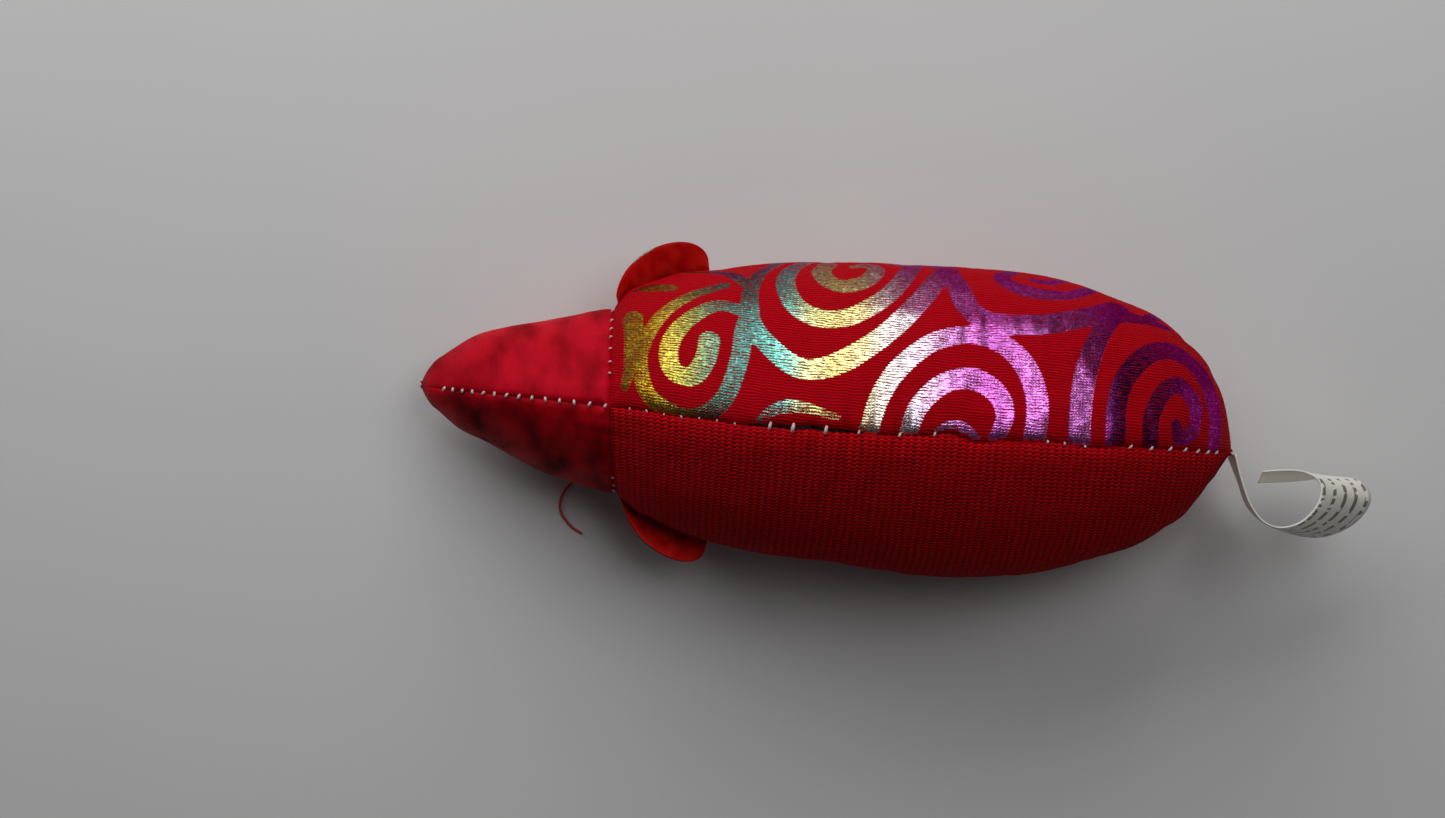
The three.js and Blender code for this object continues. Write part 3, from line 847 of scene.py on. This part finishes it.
def ear_face(side, name, away):
    """One face of an ear, puffed to the flank side (away -1) or to the outer side (away 1)."""
    p, q = np.meshgrid(1 - (1 - np.linspace(0, 1, 60)) ** 1.6, towards_edges(48), indexing="ij")
    crown = np.sqrt(np.clip(1 - (2 * q - 1) ** 2, 0, 1)) ** 0.8 * np.sqrt(np.clip(1 - p ** 3, 0, 1))
    crown = crown * (0.3 + 0.7 * np.clip(p * 4, 0, 1))
    wrinkle = WRINKLE_DEPTH * np.sin(p * 19 + q * 4) * crown * (1 - p)
    points = ear_points(side, p, q, EAR_MIDDLE + away * (EAR_PUFF * crown + wrinkle))
    flat = np.stack([p * EAR_LENGTH + PRINT_START, q * EAR_WIDTH, np.zeros_like(p)], -1)
    faces = grid_faces(*p.shape)
    if side * away > 0:
        faces = faces[:, ::-1]
    return make_piece(name, points.reshape(-1, 3), faces, cloth=flat.reshape(-1, 3))


EAR_FOIL = [((0.6, 1.3, 0.7), [(-17.2, 12.8), (-15.8, 12.2), (-14.2, 12.8)]),
            ((0.8, 1.3, 1.0), [(-20, 3), (-16, 6), (-11, 5)])]
ear_backs, ear_fronts = {}, {}
for side, ear in EARS.items():
    ear_backs[side] = ear_face(side, f"ear_{ear['word']}_velour", -1)
    ear_fronts[side] = ear_face(side, f"ear_{ear['word']}_print", 1)
    store_band_depth(ear_fronts[side], EAR_FOIL)
print("ear", EAR_LENGTH, "mm long,", EAR_WIDTH, "mm wide")

# %% [markdown]
# ## The care label
# A strip of stiff satin ribbon is caught in the seam at the rear. Its own set curls it up and
# back, so it stands on edge. Two smooth lines through given points, its upper and lower
# edges, are enough to define the whole strip.

# %% The label's ribbon
LABEL_THICKNESS = 0.3
LABEL_UPPER = [(74.9, -0.3, 23.0), (76.2, -4.6, 23.6), (78.1, -9.0, 24.0), (80.6, -11.9, 24.2),
               (83.7, -12.8, 24.4), (87.1, -11.6, 24.6), (89.6, -8.8, 24.6), (90.5, -5.9, 24.4),
               (89.9, -3.7, 24.0), (87.2, -2.4, 23.8), (83.8, -2.4, 23.6), (79.9, -3.0, 23.4)]
LABEL_LOWER = [(76.2, -0.3, 11.6), (78.5, -4.9, 11.6), (80.6, -9.6, 12.0), (84.0, -12.6, 12.6),
               (89.5, -14.2, 13.8), (94.6, -14.0, 15.6), (99.2, -11.0, 17.6), (101.4, -6.6, 18.6),
               (99.6, -3.2, 17.0), (94.6, -3.2, 14.2), (88.4, -4.4, 12.4), (82.4, -5.2, 11.6)]


def label_piece(columns, rows):
    """The ribbon between its two edges, and its place on the flat strip in millimetres."""
    upper, lower = smooth_line(LABEL_UPPER, columns), smooth_line(LABEL_LOWER, columns)
    share = np.linspace(0, 1, rows)[None, :, None]
    points = upper[:, None] * (1 - share) + lower[:, None] * share
    middle = points[:, rows // 2]
    along = np.concatenate([[0], np.cumsum(np.linalg.norm(np.diff(middle, axis=0), axis=1))])
    across = np.linalg.norm(upper - lower, axis=1).mean() * share[0, :, 0]
    flat = np.stack(np.broadcast_arrays(along[:, None], across[None, :], 0.0), -1)
    piece = make_piece("care_label_ribbon", points.reshape(-1, 3), grid_faces(columns, rows),
                       cloth=flat.reshape(-1, 3))
    solid = piece.modifiers.new("ribbon thickness", "SOLIDIFY")
    solid.thickness = LABEL_THICKNESS * MM
    solid.offset = 0
    return piece, along[-1], across[-1]


LABEL_COLUMNS, LABEL_ROWS = 120, 15
label, LABEL_LENGTH, LABEL_WIDTH = label_piece(LABEL_COLUMNS, LABEL_ROWS)
print("label", round(LABEL_LENGTH, 1), "by", round(LABEL_WIDTH, 1), "mm")

# %% [markdown]
# ## The filling
# Polyester fibre is a cloud of fine crimped hairs. It can be glimpsed only through the opening in
# the closing seam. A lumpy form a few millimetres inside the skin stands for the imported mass.

# %% The packed fibre
FILLING_INSET = 3.4
LUMP_DEPTH = 0.5


def filling_piece(columns, rows):
    """The cover's own form, drawn in and rounded at the ends, with lumps."""
    t = towards_edges(columns)
    x = (NOSE_X + 2 * FILLING_INSET) * (1 - t) + (REAR_X - FILLING_INSET) * t
    angle = np.linspace(0, 2 * np.pi, rows, endpoint=False)
    grid_x, grid_angle = np.meshgrid(x, angle, indexing="ij")
    folded = np.where(grid_angle <= np.pi, grid_angle, 2 * np.pi - grid_angle)
    left = cover_point(LEFT, grid_x, folded, -FILLING_INSET)
    right = cover_point(RIGHT, grid_x, folded, -FILLING_INSET)
    skin = np.where((grid_angle <= np.pi)[..., None], left, right)
    middle = np.stack([grid_x, np.zeros_like(grid_x), widest_z(grid_x)], -1)
    full = (np.clip(np.sin(np.pi * np.linspace(0, 1, columns)), 0, 1) ** 0.5)[:, None, None]
    lumps = LUMP_DEPTH * (1 + np.sin(grid_x / 2.3) * np.sin(3 * grid_angle + grid_x / 9))
    points = middle * (1 - full) + (skin + unit(middle - skin) * lumps[..., None]) * full
    faces = [face[::-1] for face in ring_faces(columns, rows)]
    return make_piece("fibre_core", points.reshape(-1, 3), faces)


FILLING_COLUMNS, FILLING_ROWS = 80, 48
filling = filling_piece(FILLING_COLUMNS, FILLING_ROWS)
print("filling faces:", len(filling.data.polygons))

# %% [markdown]
# ## Colours and nodes
# Cloth colours are easiest to name as the hex values of a colour picker, which are sRGB. Blender
# wants linear light, so one function turns them over. A second adds a node, with its settings and
# its links in one line, and the materials below are written with it.

# %% Colour and node helpers


def colour(hex_value):
    """An sRGB hex colour as linear red, green, blue and alpha."""
    parts = [int(hex_value[i:i + 2], 16) / 255 for i in (1, 3, 5)]
    return [v / 12.92 if v <= 0.04045 else ((v + 0.055) / 1.055) ** 2.4 for v in parts] + [1]


def add_node(tree, kind, inputs=None, output=0, **settings):
    """Adds a node and gives back one of its outputs.

    settings are the node's own options, and inputs are sockets, values or hex colours.
    """
    node = tree.nodes.new(kind)
    for name, value in settings.items():
        setattr(node, name, value)
    for key, value in (inputs or {}).items():
        if isinstance(value, bpy.types.NodeSocket):
            tree.links.new(value, node.inputs[key])
        else:
            node.inputs[key].default_value = colour(value) if isinstance(value, str) else value
    return node.outputs[output] if node.outputs else None


def new_material(name):
    """An empty material, and add_node for its own tree."""
    material = bpy.data.materials.new(name)
    material.use_nodes = True
    material.node_tree.nodes.clear()
    return material, functools.partial(add_node, material.node_tree)


def finish_material(add, inputs):
    """The shader and the output at the end of a material."""
    shader = add("ShaderNodeBsdfPrincipled", inputs)
    add("ShaderNodeOutputMaterial", {"Surface": shader})


def cloth_place(add):
    """The sockets that say where on the flat cloth a point is, in millimetres."""
    place = add("ShaderNodeAttribute", output="Vector", attribute_name="cloth")
    along = add("ShaderNodeSeparateXYZ", {0: place})
    return place, along, along.node.outputs[1]


def ribs(add, distance, pitch):
    """Even ribs across a distance in millimetres, from 0 in the valleys to 1 on top."""
    turns = add("ShaderNodeMath", {0: distance, 1: 2 * math.pi / pitch}, operation="MULTIPLY")
    wave = add("ShaderNodeMath", {0: turns}, operation="SINE")
    return add("ShaderNodeMapRange", {0: wave, 1: -1, 2: 1})


def uneven(add, place, scale, detail=2.0, stretch=(1, 1, 1)):
    """Soft irregular values round a half. scale is lumps in each millimetre."""
    moved = add("ShaderNodeVectorMath", {0: place, 1: stretch}, operation="MULTIPLY")
    return add("ShaderNodeTexNoise", {"Vector": moved, "Scale": scale, "Detail": detail})


def sums(add, *terms):
    """A weighted sum of values: each term is (socket, weight)."""
    total = 0.0
    for value, weight in terms:
        total = add("ShaderNodeMath", {0: value, 1: weight, 2: total}, operation="MULTIPLY_ADD")
    return total


print("colour test:", [round(v, 3) for v in colour("#808080")[:3]])

# %% [markdown]
# ## Foil-printed knit
# The base is a red polyester jersey: fine rows along the toy, about half a millimetre apart, each
# a chain of small loops. The foil is a skin of vacuum-coated film pressed on by heat. It takes
# the relief of the rows, cracks in their valleys where the knit stretches, and is a true metal
# surface with a rainbow lacquer. So metallic is 1 on the foil and 0 on the yarn.

# %% Foil-printed knit
ROW_PITCH = 0.53
LOOP_PITCH = 0.6
FOIL_ROUGHNESS, YARN_ROUGHNESS = 0.28, 0.85
KNIT_RELIEF = 0.16
RAINBOW = [(-37, "#94701E"), (-31, "#B49620"), (-28, "#BCAC44"), (-25, "#9CA44E"), (-22, "#6C8A66"),
           (-18.5, "#4C7A6C"), (-14.5, "#488078"), (-11, "#5CB8A8"), (-8, "#8ADCC4"), (-5, "#D6E09C"),
           (0, "#F0E08A"), (5, "#F4E6A4"), (9, "#FBF6EC"), (13, "#F6EAF4"), (16, "#F0CDEE"),
           (20, "#EE9BEA"), (26, "#F07CEA"), (36, "#F58CF0"), (44, "#F588F0"), (48.6, "#B848BC"),
           (50.2, "#5E184E"), (56, "#722064"), (63, "#A2308E"), (68, "#AA4094"), (75, "#6E225E")]
RAINBOW_START, RAINBOW_END = -40, 76
# A dark olive and a dark purple: the colours of the painted shade on the foil.
OLIVE_PAINTED_SHADE, PURPLE_PAINTED_SHADE = "#2C361C", "#741E60"


def rainbow_lacquer_and_painted_shade(add, along, across):
    """The lacquer's colour along the toy, with painted shade: it is painted darker low down, and at the
    rear, where the foil turns away from the light.
    """
    ramp_place = add("ShaderNodeMapRange", {0: along, 1: RAINBOW_START, 2: RAINBOW_END})
    lacquer = add("ShaderNodeValToRGB", {0: ramp_place})
    stops = lacquer.node.color_ramp.elements
    while len(stops) < len(RAINBOW):
        stops.new(0.5)
    for stop, (x, hex_value) in zip(stops, RAINBOW):
        stop.position = (x - RAINBOW_START) / (RAINBOW_END - RAINBOW_START)
        stop.color = colour(hex_value)
    # Painted shade: past a line along the flank, which comes closer to the top seam towards the rear, the
    # lacquer is mixed towards dark olive at the front and dark purple further back.
    front_limit = add("ShaderNodeMapRange", {0: along, 1: 8, 2: 22, 3: 24.5, 4: 21.5})
    rear_limit = add("ShaderNodeMapRange", {0: along, 1: 36, 2: 45, 3: 0, 4: 10})
    past_limit = sums(add, (across, 1.0), (front_limit, -1.0), (rear_limit, 1.0))
    past = add("ShaderNodeMapRange", {0: past_limit, 1: -1.2, 2: 1.6})
    rear = add("ShaderNodeMapRange", {0: along, 1: 4, 2: 12})
    strength = add("ShaderNodeMapRange", {0: along, 1: 4, 2: 12, 3: 0.5, 4: 0.86})
    painted_shade_share = add("ShaderNodeMath", {0: past, 1: strength}, operation="MULTIPLY")
    shadow = add("ShaderNodeMix", {0: rear, 6: OLIVE_PAINTED_SHADE, 7: PURPLE_PAINTED_SHADE}, 2, data_type="RGBA")
    return add("ShaderNodeMix", {0: painted_shade_share, 6: lacquer, 7: shadow}, 2, data_type="RGBA")


def pulled_by_stitches(add, along, across):
    """1 beside the hand-sewn stitches, where the foil is cracked most, and 0 farther away."""
    share = add("ShaderNodeMapRange", {0: across, 1: 1.5, 2: 6, 3: 1, 4: 0})
    for start, end in ((-16, -11), (7, 2)):
        inside = add("ShaderNodeMapRange", {0: along, 1: start, 2: end})
        share = add("ShaderNodeMath", {0: share, 1: inside}, operation="MULTIPLY")
    return share


def painted_glints(add, place, lacquer):
    """The film is creased into small facets, and their glints are painted: painted shade darkens the dull
    facets, and a painted highlight lightens those that would catch the light.
    """
    facets = add("ShaderNodeTexVoronoi", {"Vector": place, "Scale": 2.6}, "Color")
    dull = add("ShaderNodeSeparateColor", {0: facets})
    bright = dull.node.outputs[1]
    # Painted shade on the dull facets.
    shade = add("ShaderNodeMapRange", {0: dull, 1: 0.0, 2: 0.5, 3: 0.55, 4: 0})
    lacquer = add("ShaderNodeMix", {0: shade, 6: lacquer, 7: "#4A1A34"}, 2, data_type="RGBA")
    # Painted highlight on the bright facets.
    painted_sparkle = add("ShaderNodeMapRange", {0: bright, 1: 0.7, 2: 0.95})
    return add("ShaderNodeHueSaturation", {"Fac": painted_sparkle, "Color": lacquer, "Value": 1.9})


def printed_knit():
    material, add = new_material("foil_printed_polyester_jersey")
    place, along, across = cloth_place(add)
    wobble = uneven(add, place, 0.35)
    rows = ribs(add, sums(add, (across, 1.0), (wobble, 0.9), (along, 0.03)), ROW_PITCH)
    loops = ribs(add, sums(add, (along, 1.0), (rows, 0.4)), LOOP_PITCH)
    relief = sums(add, (rows, 0.75), (loops, 0.25))
    grain = uneven(add, place, 3.2, 3)
    patch = uneven(add, place, 0.5)
    # Painted shade: the yarn is darker in the valleys between the rows and loops.
    yarn = add("ShaderNodeMix", {0: relief, 6: "#660107", 7: "#D60A16"}, 2, data_type="RGBA")
    faded = add("ShaderNodeMapRange", {0: patch, 1: 0.3, 2: 0.75, 3: 0, 4: 0.35})
    yarn = add("ShaderNodeMix", {0: faded, 6: yarn, 7: "#B80512"}, 2, data_type="RGBA")
    depth = add("ShaderNodeAttribute", output="Fac", attribute_name="print_depth")
    ragged = sums(add, (depth, 1.0), (grain, 0.5), (rows, 0.22))
    inside = add("ShaderNodeMapRange", {0: ragged, 1: 0.3, 2: 0.42})
    streaks = uneven(add, place, 1.5, 3, (0.45, 2.2, 1))
    worn = sums(add, (rows, 0.75), (streaks, 2.0), (pulled_by_stitches(add, along, across), -0.45))
    whole = add("ShaderNodeMapRange", {0: worn, 1: 1.02, 2: 1.2})
    foil = add("ShaderNodeMath", {0: inside, 1: whole}, operation="MULTIPLY")
    # The foil's colour: the lacquer with its painted shade and painted glints.
    lacquer = painted_glints(add, place, rainbow_lacquer_and_painted_shade(add, along, across))
    base = add("ShaderNodeMix", {0: foil, 6: yarn, 7: lacquer}, 2, data_type="RGBA")
    roughness = add("ShaderNodeMapRange", {0: foil, 3: YARN_ROUGHNESS, 4: FOIL_ROUGHNESS})
    bare = add("ShaderNodeMapRange", {0: foil, 3: 1, 4: 0.35})
    yarn_relief = add("ShaderNodeMath", {0: relief, 1: bare}, operation="MULTIPLY")
    height = sums(add, (yarn_relief, 1.0), (grain, 0.4), (streaks, 0.35))
    normal = add("ShaderNodeBump", {"Height": height, "Strength": 0.6, "Distance": KNIT_RELIEF * MM})
    finish_material(add, {
        "Base Color": base, "Roughness": roughness, "Metallic": foil, "Normal": normal,
        "Specular IOR Level": 0.08, "Specular Tint": "#D070C8",
        "Sheen Weight": 0.04, "Sheen Roughness": 0.4, "Sheen Tint": "#FF2030"})
    return material


PRINTED_KNIT = printed_knit()
print("rows every", ROW_PITCH, "mm")

# %% [markdown]
# ## Plain mesh knit
# The other flank and the belly are a coarser warp knit with no print. Its yarns zigzag from side
# to side and leave small holes between the waves, which are painted dark as painted shade, so it
# looks matt and deeper in colour. A sine of one direction inside a sine of the other draws exactly that.

# %% Plain mesh knit
WAVE_PITCH = 0.7
ZIGZAG_LENGTH = 1.28
ZIGZAG_WIDTH = 0.3
TWIST_PITCH = 0.45
MESH_RELIEF = 0.25


def plain_knit():
    material, add = new_material("warp_knit_polyester_mesh")
    place, along, across = cloth_place(add)
    wobble = uneven(add, place, 0.25)
    zigzag = ribs(add, sums(add, (along, 1.0), (wobble, 0.8)), ZIGZAG_LENGTH)
    rows = ribs(add, sums(add, (across, 1.0), (zigzag, ZIGZAG_WIDTH), (wobble, 0.9)), WAVE_PITCH)
    twist = ribs(add, sums(add, (along, 1.0), (across, 0.6)), TWIST_PITCH)
    grain = uneven(add, place, 4.0, 3)
    patch = uneven(add, place, 0.16)
    columns = ribs(add, sums(add, (along, 1.0), (wobble, 0.8), (rows, 0.12)), ZIGZAG_LENGTH)
    relief = sums(add, (rows, 0.62), (columns, 0.3), (twist, 0.1), (grain, 0.15))
    # Painted shade: the holes and valleys of the relief are mixed towards near black.
    painted_shade_mix = add("ShaderNodeMapRange", {0: relief, 1: 0.22, 2: 0.9})
    yarn = add("ShaderNodeMix", {0: painted_shade_mix, 6: "#3C0004", 7: "#DE0614"}, 2, data_type="RGBA")
    faded = add("ShaderNodeMapRange", {0: patch, 1: 0.35, 2: 0.7, 3: 0, 4: 0.4})
    base = add("ShaderNodeMix", {0: faded, 6: yarn, 7: "#9A030C"}, 2, data_type="RGBA")
    normal = add("ShaderNodeBump", {"Height": relief, "Strength": 0.8, "Distance": MESH_RELIEF * MM})
    finish_material(add, {
        "Base Color": base, "Roughness": 0.88, "Normal": normal, "Specular IOR Level": 0.06,
        "Sheen Weight": 0.04, "Sheen Roughness": 0.5, "Sheen Tint": "#FF1A26"})
    return material


PLAIN_KNIT = plain_knit()
print("waves every", WAVE_PITCH, "mm")

# %% [markdown]
# ## Crushed satin velour
# Velour is a knit whose loops are cut and brushed into a short pile. The pile is shiny viscose,
# and it lies in different directions where it was handled, so it shows blotches that are light or
# dark without any change of dye; here they are painted into the colour, as painted light and
# painted shade. The second head panel is a darker copy of the same cloth: painted shade for the
# side that faces away from the light. Sheen gives the bright edge, and slow noise tilts the pile.

# %% Velour
PILE_HEIGHT = 0.35


def velour(name, lit, dark, blotch_scale, sheen):
    """lit and dark are painted light and painted shade: the colours of pile that leans towards the light
    and away from it.
    """
    material, add = new_material(name)
    place, along, across = cloth_place(add)
    blotches = uneven(add, place, blotch_scale, 1.5, (1.25, 0.7, 1))
    crush = uneven(add, place, 0.9, 3, (1.2, 0.5, 1))
    pile = uneven(add, place, 5.5, 2)
    lay = sums(add, (blotches, 0.85), (crush, 0.14), (pile, 0.08))
    lifted = add("ShaderNodeMapRange", {0: lay, 1: 0.36, 2: 0.62})
    # Painted light and painted shade: the blotches mix the lit and dark colours.
    base = add("ShaderNodeMix", {0: lifted, 6: dark, 7: lit}, 2, data_type="RGBA")
    height = sums(add, (crush, 0.4), (pile, 0.35), (blotches, 0.8))
    normal = add("ShaderNodeBump", {"Height": height, "Strength": 0.6, "Distance": PILE_HEIGHT * MM})
    roughness = add("ShaderNodeMapRange", {0: lifted, 3: 0.62, 4: 0.44})
    finish_material(add, {
        "Base Color": base, "Roughness": roughness, "Normal": normal, "Specular IOR Level": 0.03,
        "Sheen Weight": sheen, "Sheen Roughness": 0.35, "Sheen Tint": "#FF2018"})
    return material


HEAD_VELOUR = velour("crushed_satin_velour", "#C40922", "#8A020E", 0.13, 0.02)
# Painted shade: a darker copy of the head velour, for the panel that faces away from the light.
HEAD_VELOUR_PAINTED_SHADE = velour("crushed_satin_velour_painted_shade", "#B40818", "#56000A", 0.15, 0.02)
EAR_VELOUR = velour("brushed_velour", "#FF2E28", "#D40C0E", 0.3, 0.4)
print("velours:", HEAD_VELOUR.name, HEAD_VELOUR_PAINTED_SHADE.name, EAR_VELOUR.name)

# %% [markdown]
# ## Thread, ribbon and fibre
# Polyester thread is plied, so it carries fine diagonal ridges, and the white one has taken up a
# little red from the cloth. The ribbon is woven satin: bright, stiff and finely ribbed. Its print
# is stood for by rows of plain dashes.

# %% Thread
PLY_RELIEF = 0.08


def plied_thread(name, light, dark):
    material, add = new_material(name)
    place = add("ShaderNodeTexCoord", output="Object")
    plies = add("ShaderNodeTexWave", {"Vector": place, "Scale": 900, "Distortion": 1.5}, "Fac",
                bands_direction="DIAGONAL")
    fuzz = add("ShaderNodeTexNoise", {"Vector": place, "Scale": 2600})
    shade = sums(add, (plies, 0.6), (fuzz, 0.5))
    base = add("ShaderNodeMix", {0: shade, 6: dark, 7: light}, 2, data_type="RGBA")
    normal = add("ShaderNodeBump", {"Height": shade, "Strength": 0.6, "Distance": PLY_RELIEF * MM})
    finish_material(add, {"Base Color": base, "Roughness": 0.6, "Normal": normal, "Sheen Weight": 0.2})
    return material


WHITE_THREAD = plied_thread("plied_polyester_thread_white", "#F2E2DE", "#B88C8A")
RED_THREAD = plied_thread("plied_polyester_thread_red", "#F0404A", "#B01624")
print("threads:", WHITE_THREAD.name, RED_THREAD.name)

# %% Ribbon and fibre
DASH_LENGTH = 1.6
LINE_PITCH = 2.6
WEFT_PITCH = 0.3
PRINT_FROM, PRINT_TO = 0.38, 0.72


def satin_ribbon():
    material, add = new_material("woven_satin_ribbon")
    place, along, across = cloth_place(add)
    weft = ribs(add, along, WEFT_PITCH)
    grain = uneven(add, place, 2.5, 3)
    cloth = add("ShaderNodeMix", {0: grain, 6: "#E6DED0", 7: "#FAF6EE"}, 2, data_type="RGBA")
    lines = add("ShaderNodeMapRange", {0: ribs(add, across, LINE_PITCH), 1: 0.72, 2: 0.8})
    beats = uneven(add, place, 1 / DASH_LENGTH, 0, (1.6, 0.9, 1))
    dashes = add("ShaderNodeMapRange", {0: beats, 1: 0.44, 2: 0.48})
    start = add("ShaderNodeMath", {0: along, 1: LABEL_LENGTH * PRINT_FROM}, operation="GREATER_THAN")
    stop = add("ShaderNodeMath", {0: along, 1: LABEL_LENGTH * PRINT_TO}, operation="LESS_THAN")
    ink = lines
    for share in (dashes, start, stop, 0.8):
        ink = add("ShaderNodeMath", {0: ink, 1: share}, operation="MULTIPLY")
    base = add("ShaderNodeMix", {0: ink, 6: cloth, 7: "#3A3836"}, 2, data_type="RGBA")
    normal = add("ShaderNodeBump", {"Height": weft, "Strength": 0.25, "Distance": 0.05 * MM})
    finish_material(add, {"Base Color": base, "Roughness": 0.42, "Normal": normal, "Sheen Weight": 0.1})
    return material


def loose_fibre():
    material, add = new_material("carded_polyester_fibre")
    place = add("ShaderNodeTexCoord", output="Object")
    hairs = add("ShaderNodeTexNoise", {"Vector": place, "Scale": 1500, "Detail": 6})
    base = add("ShaderNodeMix", {0: hairs, 6: "#B9B4AC", 7: "#F4F1EC"}, 2, data_type="RGBA")
    normal = add("ShaderNodeBump", {"Height": hairs, "Strength": 0.9, "Distance": 0.4 * MM})
    finish_material(add, {"Base Color": base, "Roughness": 0.95, "Normal": normal, "Sheen Weight": 0.3})
    return material


RIBBON = satin_ribbon()
FIBRE = loose_fibre()
print("ribbon printed for", round(LABEL_LENGTH * (PRINT_TO - PRINT_FROM), 1), "mm of its length")

# %% [markdown]
# ## Dressing the pieces
# Every piece now gets its finish, the body of the frame that it moves with, and the plain solid
# that it stands for.

# %% Materials and bodies


def dress(piece, material, body, node):
    """Gives a piece its finish, its body and the plain solid that it replaces."""
    piece.data.materials.append(material)
    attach(piece, body)
    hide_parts(node)


for piece, material, slot, node in (
        (head_left, HEAD_VELOUR, "head_velour", "head_panel_left"),
        (head_right, HEAD_VELOUR_PAINTED_SHADE, "head_velour", "head_panel_right"),
        (printed_flank, PRINTED_KNIT, "printed_knit", "body_panel_printed"),
        (plain_flank, PLAIN_KNIT, "plain_knit", "body_panel_plain"),
        (belly, PLAIN_KNIT, "plain_knit", "belly_panel"),
        (filling, FIBRE, "fibre", "fibre_filling"),
        (head_top_thread, WHITE_THREAD, "white_thread", "head_top_seam_thread"),
        (chin_thread, WHITE_THREAD, "white_thread", "head_chin_seam_thread"),
        (front_thread, WHITE_THREAD, "white_thread", "body_top_seam_thread_front"),
        (closing_thread, WHITE_THREAD, "white_thread", "closing_seam_thread"),
        (rear_thread, WHITE_THREAD, "white_thread", "body_top_seam_thread_rear"),
        (neck_threads[LEFT], WHITE_THREAD, "white_thread", "neck_seam_thread_left"),
        (neck_threads[RIGHT], WHITE_THREAD, "white_thread", "neck_seam_thread_right"),
        (belly_threads[LEFT], RED_THREAD, "red_thread", "belly_seam_thread_left"),
        (belly_threads[RIGHT], RED_THREAD, "red_thread", "belly_seam_thread_right")):
    dress(piece, material, "mouse_body", node)
for side, ear in (LEFT, "ear_left"), (RIGHT, "ear_right"):
    dress(ear_backs[side], EAR_VELOUR, ear, ear + "_outer")
    dress(ear_fronts[side], PRINTED_KNIT, ear, ear + "_lining")
dress(label, RIBBON, "label", "care_label")
dress(loose_thread, RED_THREAD, "mouse_body", "loose_thread")

# %% [markdown]
# ## Floor and light
# Cloth reads best in one large soft light from the side, like a window, with a weak fill from
# everywhere else. A smaller skylight further back gives the foil something bright to mirror. The
# floor is plain and pale, and the picture is kept a little dark, so that the white label and the
# foil keep their detail.

# %% Floor, window and fill
FLOOR_SIZE = 2000
WINDOW_SIZE, WINDOW_PLACE, WINDOW_POWER = (0.8, 0.4), (-0.2, 0.44, 0.28), 2.5
SKYLIGHT_SIZE, SKYLIGHT_PLACE, SKYLIGHT_POWER = (0.3, 0.34), (0.16, 0.2, 0.5), 0.7
DAYLIGHT = (0.97, 0.985, 1.0)
ROOM_COLOUR, ROOM_STRENGTH = "#DDE2E8", 0.04


def floor_material():
    material, add = new_material("matt_painted_board")
    place = add("ShaderNodeTexCoord", output="Object")
    clouds = add("ShaderNodeTexNoise", {"Vector": place, "Scale": 9, "Detail": 4})
    base = add("ShaderNodeMix", {0: clouds, 6: "#DCDAD8", 7: "#E4E2E0"}, 2, data_type="RGBA")
    finish_material(add, {"Base Color": base, "Roughness": 0.9})
    return material


half_floor = FLOOR_SIZE / 2
floor_corners = np.array([(-1, -1, 0), (1, -1, 0), (1, 1, 0), (-1, 1, 0)]) * half_floor
floor = make_piece("floor", floor_corners, [[0, 1, 2, 3]])
floor.data.materials.append(floor_material())


def pane_of_light(name, size, place, power):
    """A rectangle of cool daylight, in metres and watts, that faces the toy."""
    light = bpy.data.lights.new(name, "AREA")
    light.shape = "RECTANGLE"
    light.size, light.size_y = size
    light.energy = power
    light.color = DAYLIGHT
    pane = bpy.data.objects.new(name, light)
    pane.location = place
    toy_middle = (cad_box[0] + cad_box[1]) / 2
    pane.rotation_euler = (toy_middle - pane.location).to_track_quat("-Z", "Y").to_euler()
    pane.visible_camera = False
    bpy.context.scene.collection.objects.link(pane)


pane_of_light("window", WINDOW_SIZE, WINDOW_PLACE, WINDOW_POWER)
pane_of_light("skylight", SKYLIGHT_SIZE, SKYLIGHT_PLACE, SKYLIGHT_POWER)

room = bpy.data.worlds.new("room")
bpy.context.scene.world = room
room.use_nodes = True
background = room.node_tree.nodes["Background"]
background.inputs["Color"].default_value = colour(ROOM_COLOUR)
background.inputs["Strength"].default_value = ROOM_STRENGTH
bpy.context.scene.view_settings.view_transform = "Standard"
print("window", WINDOW_POWER, "W, skylight", SKYLIGHT_POWER, "W")
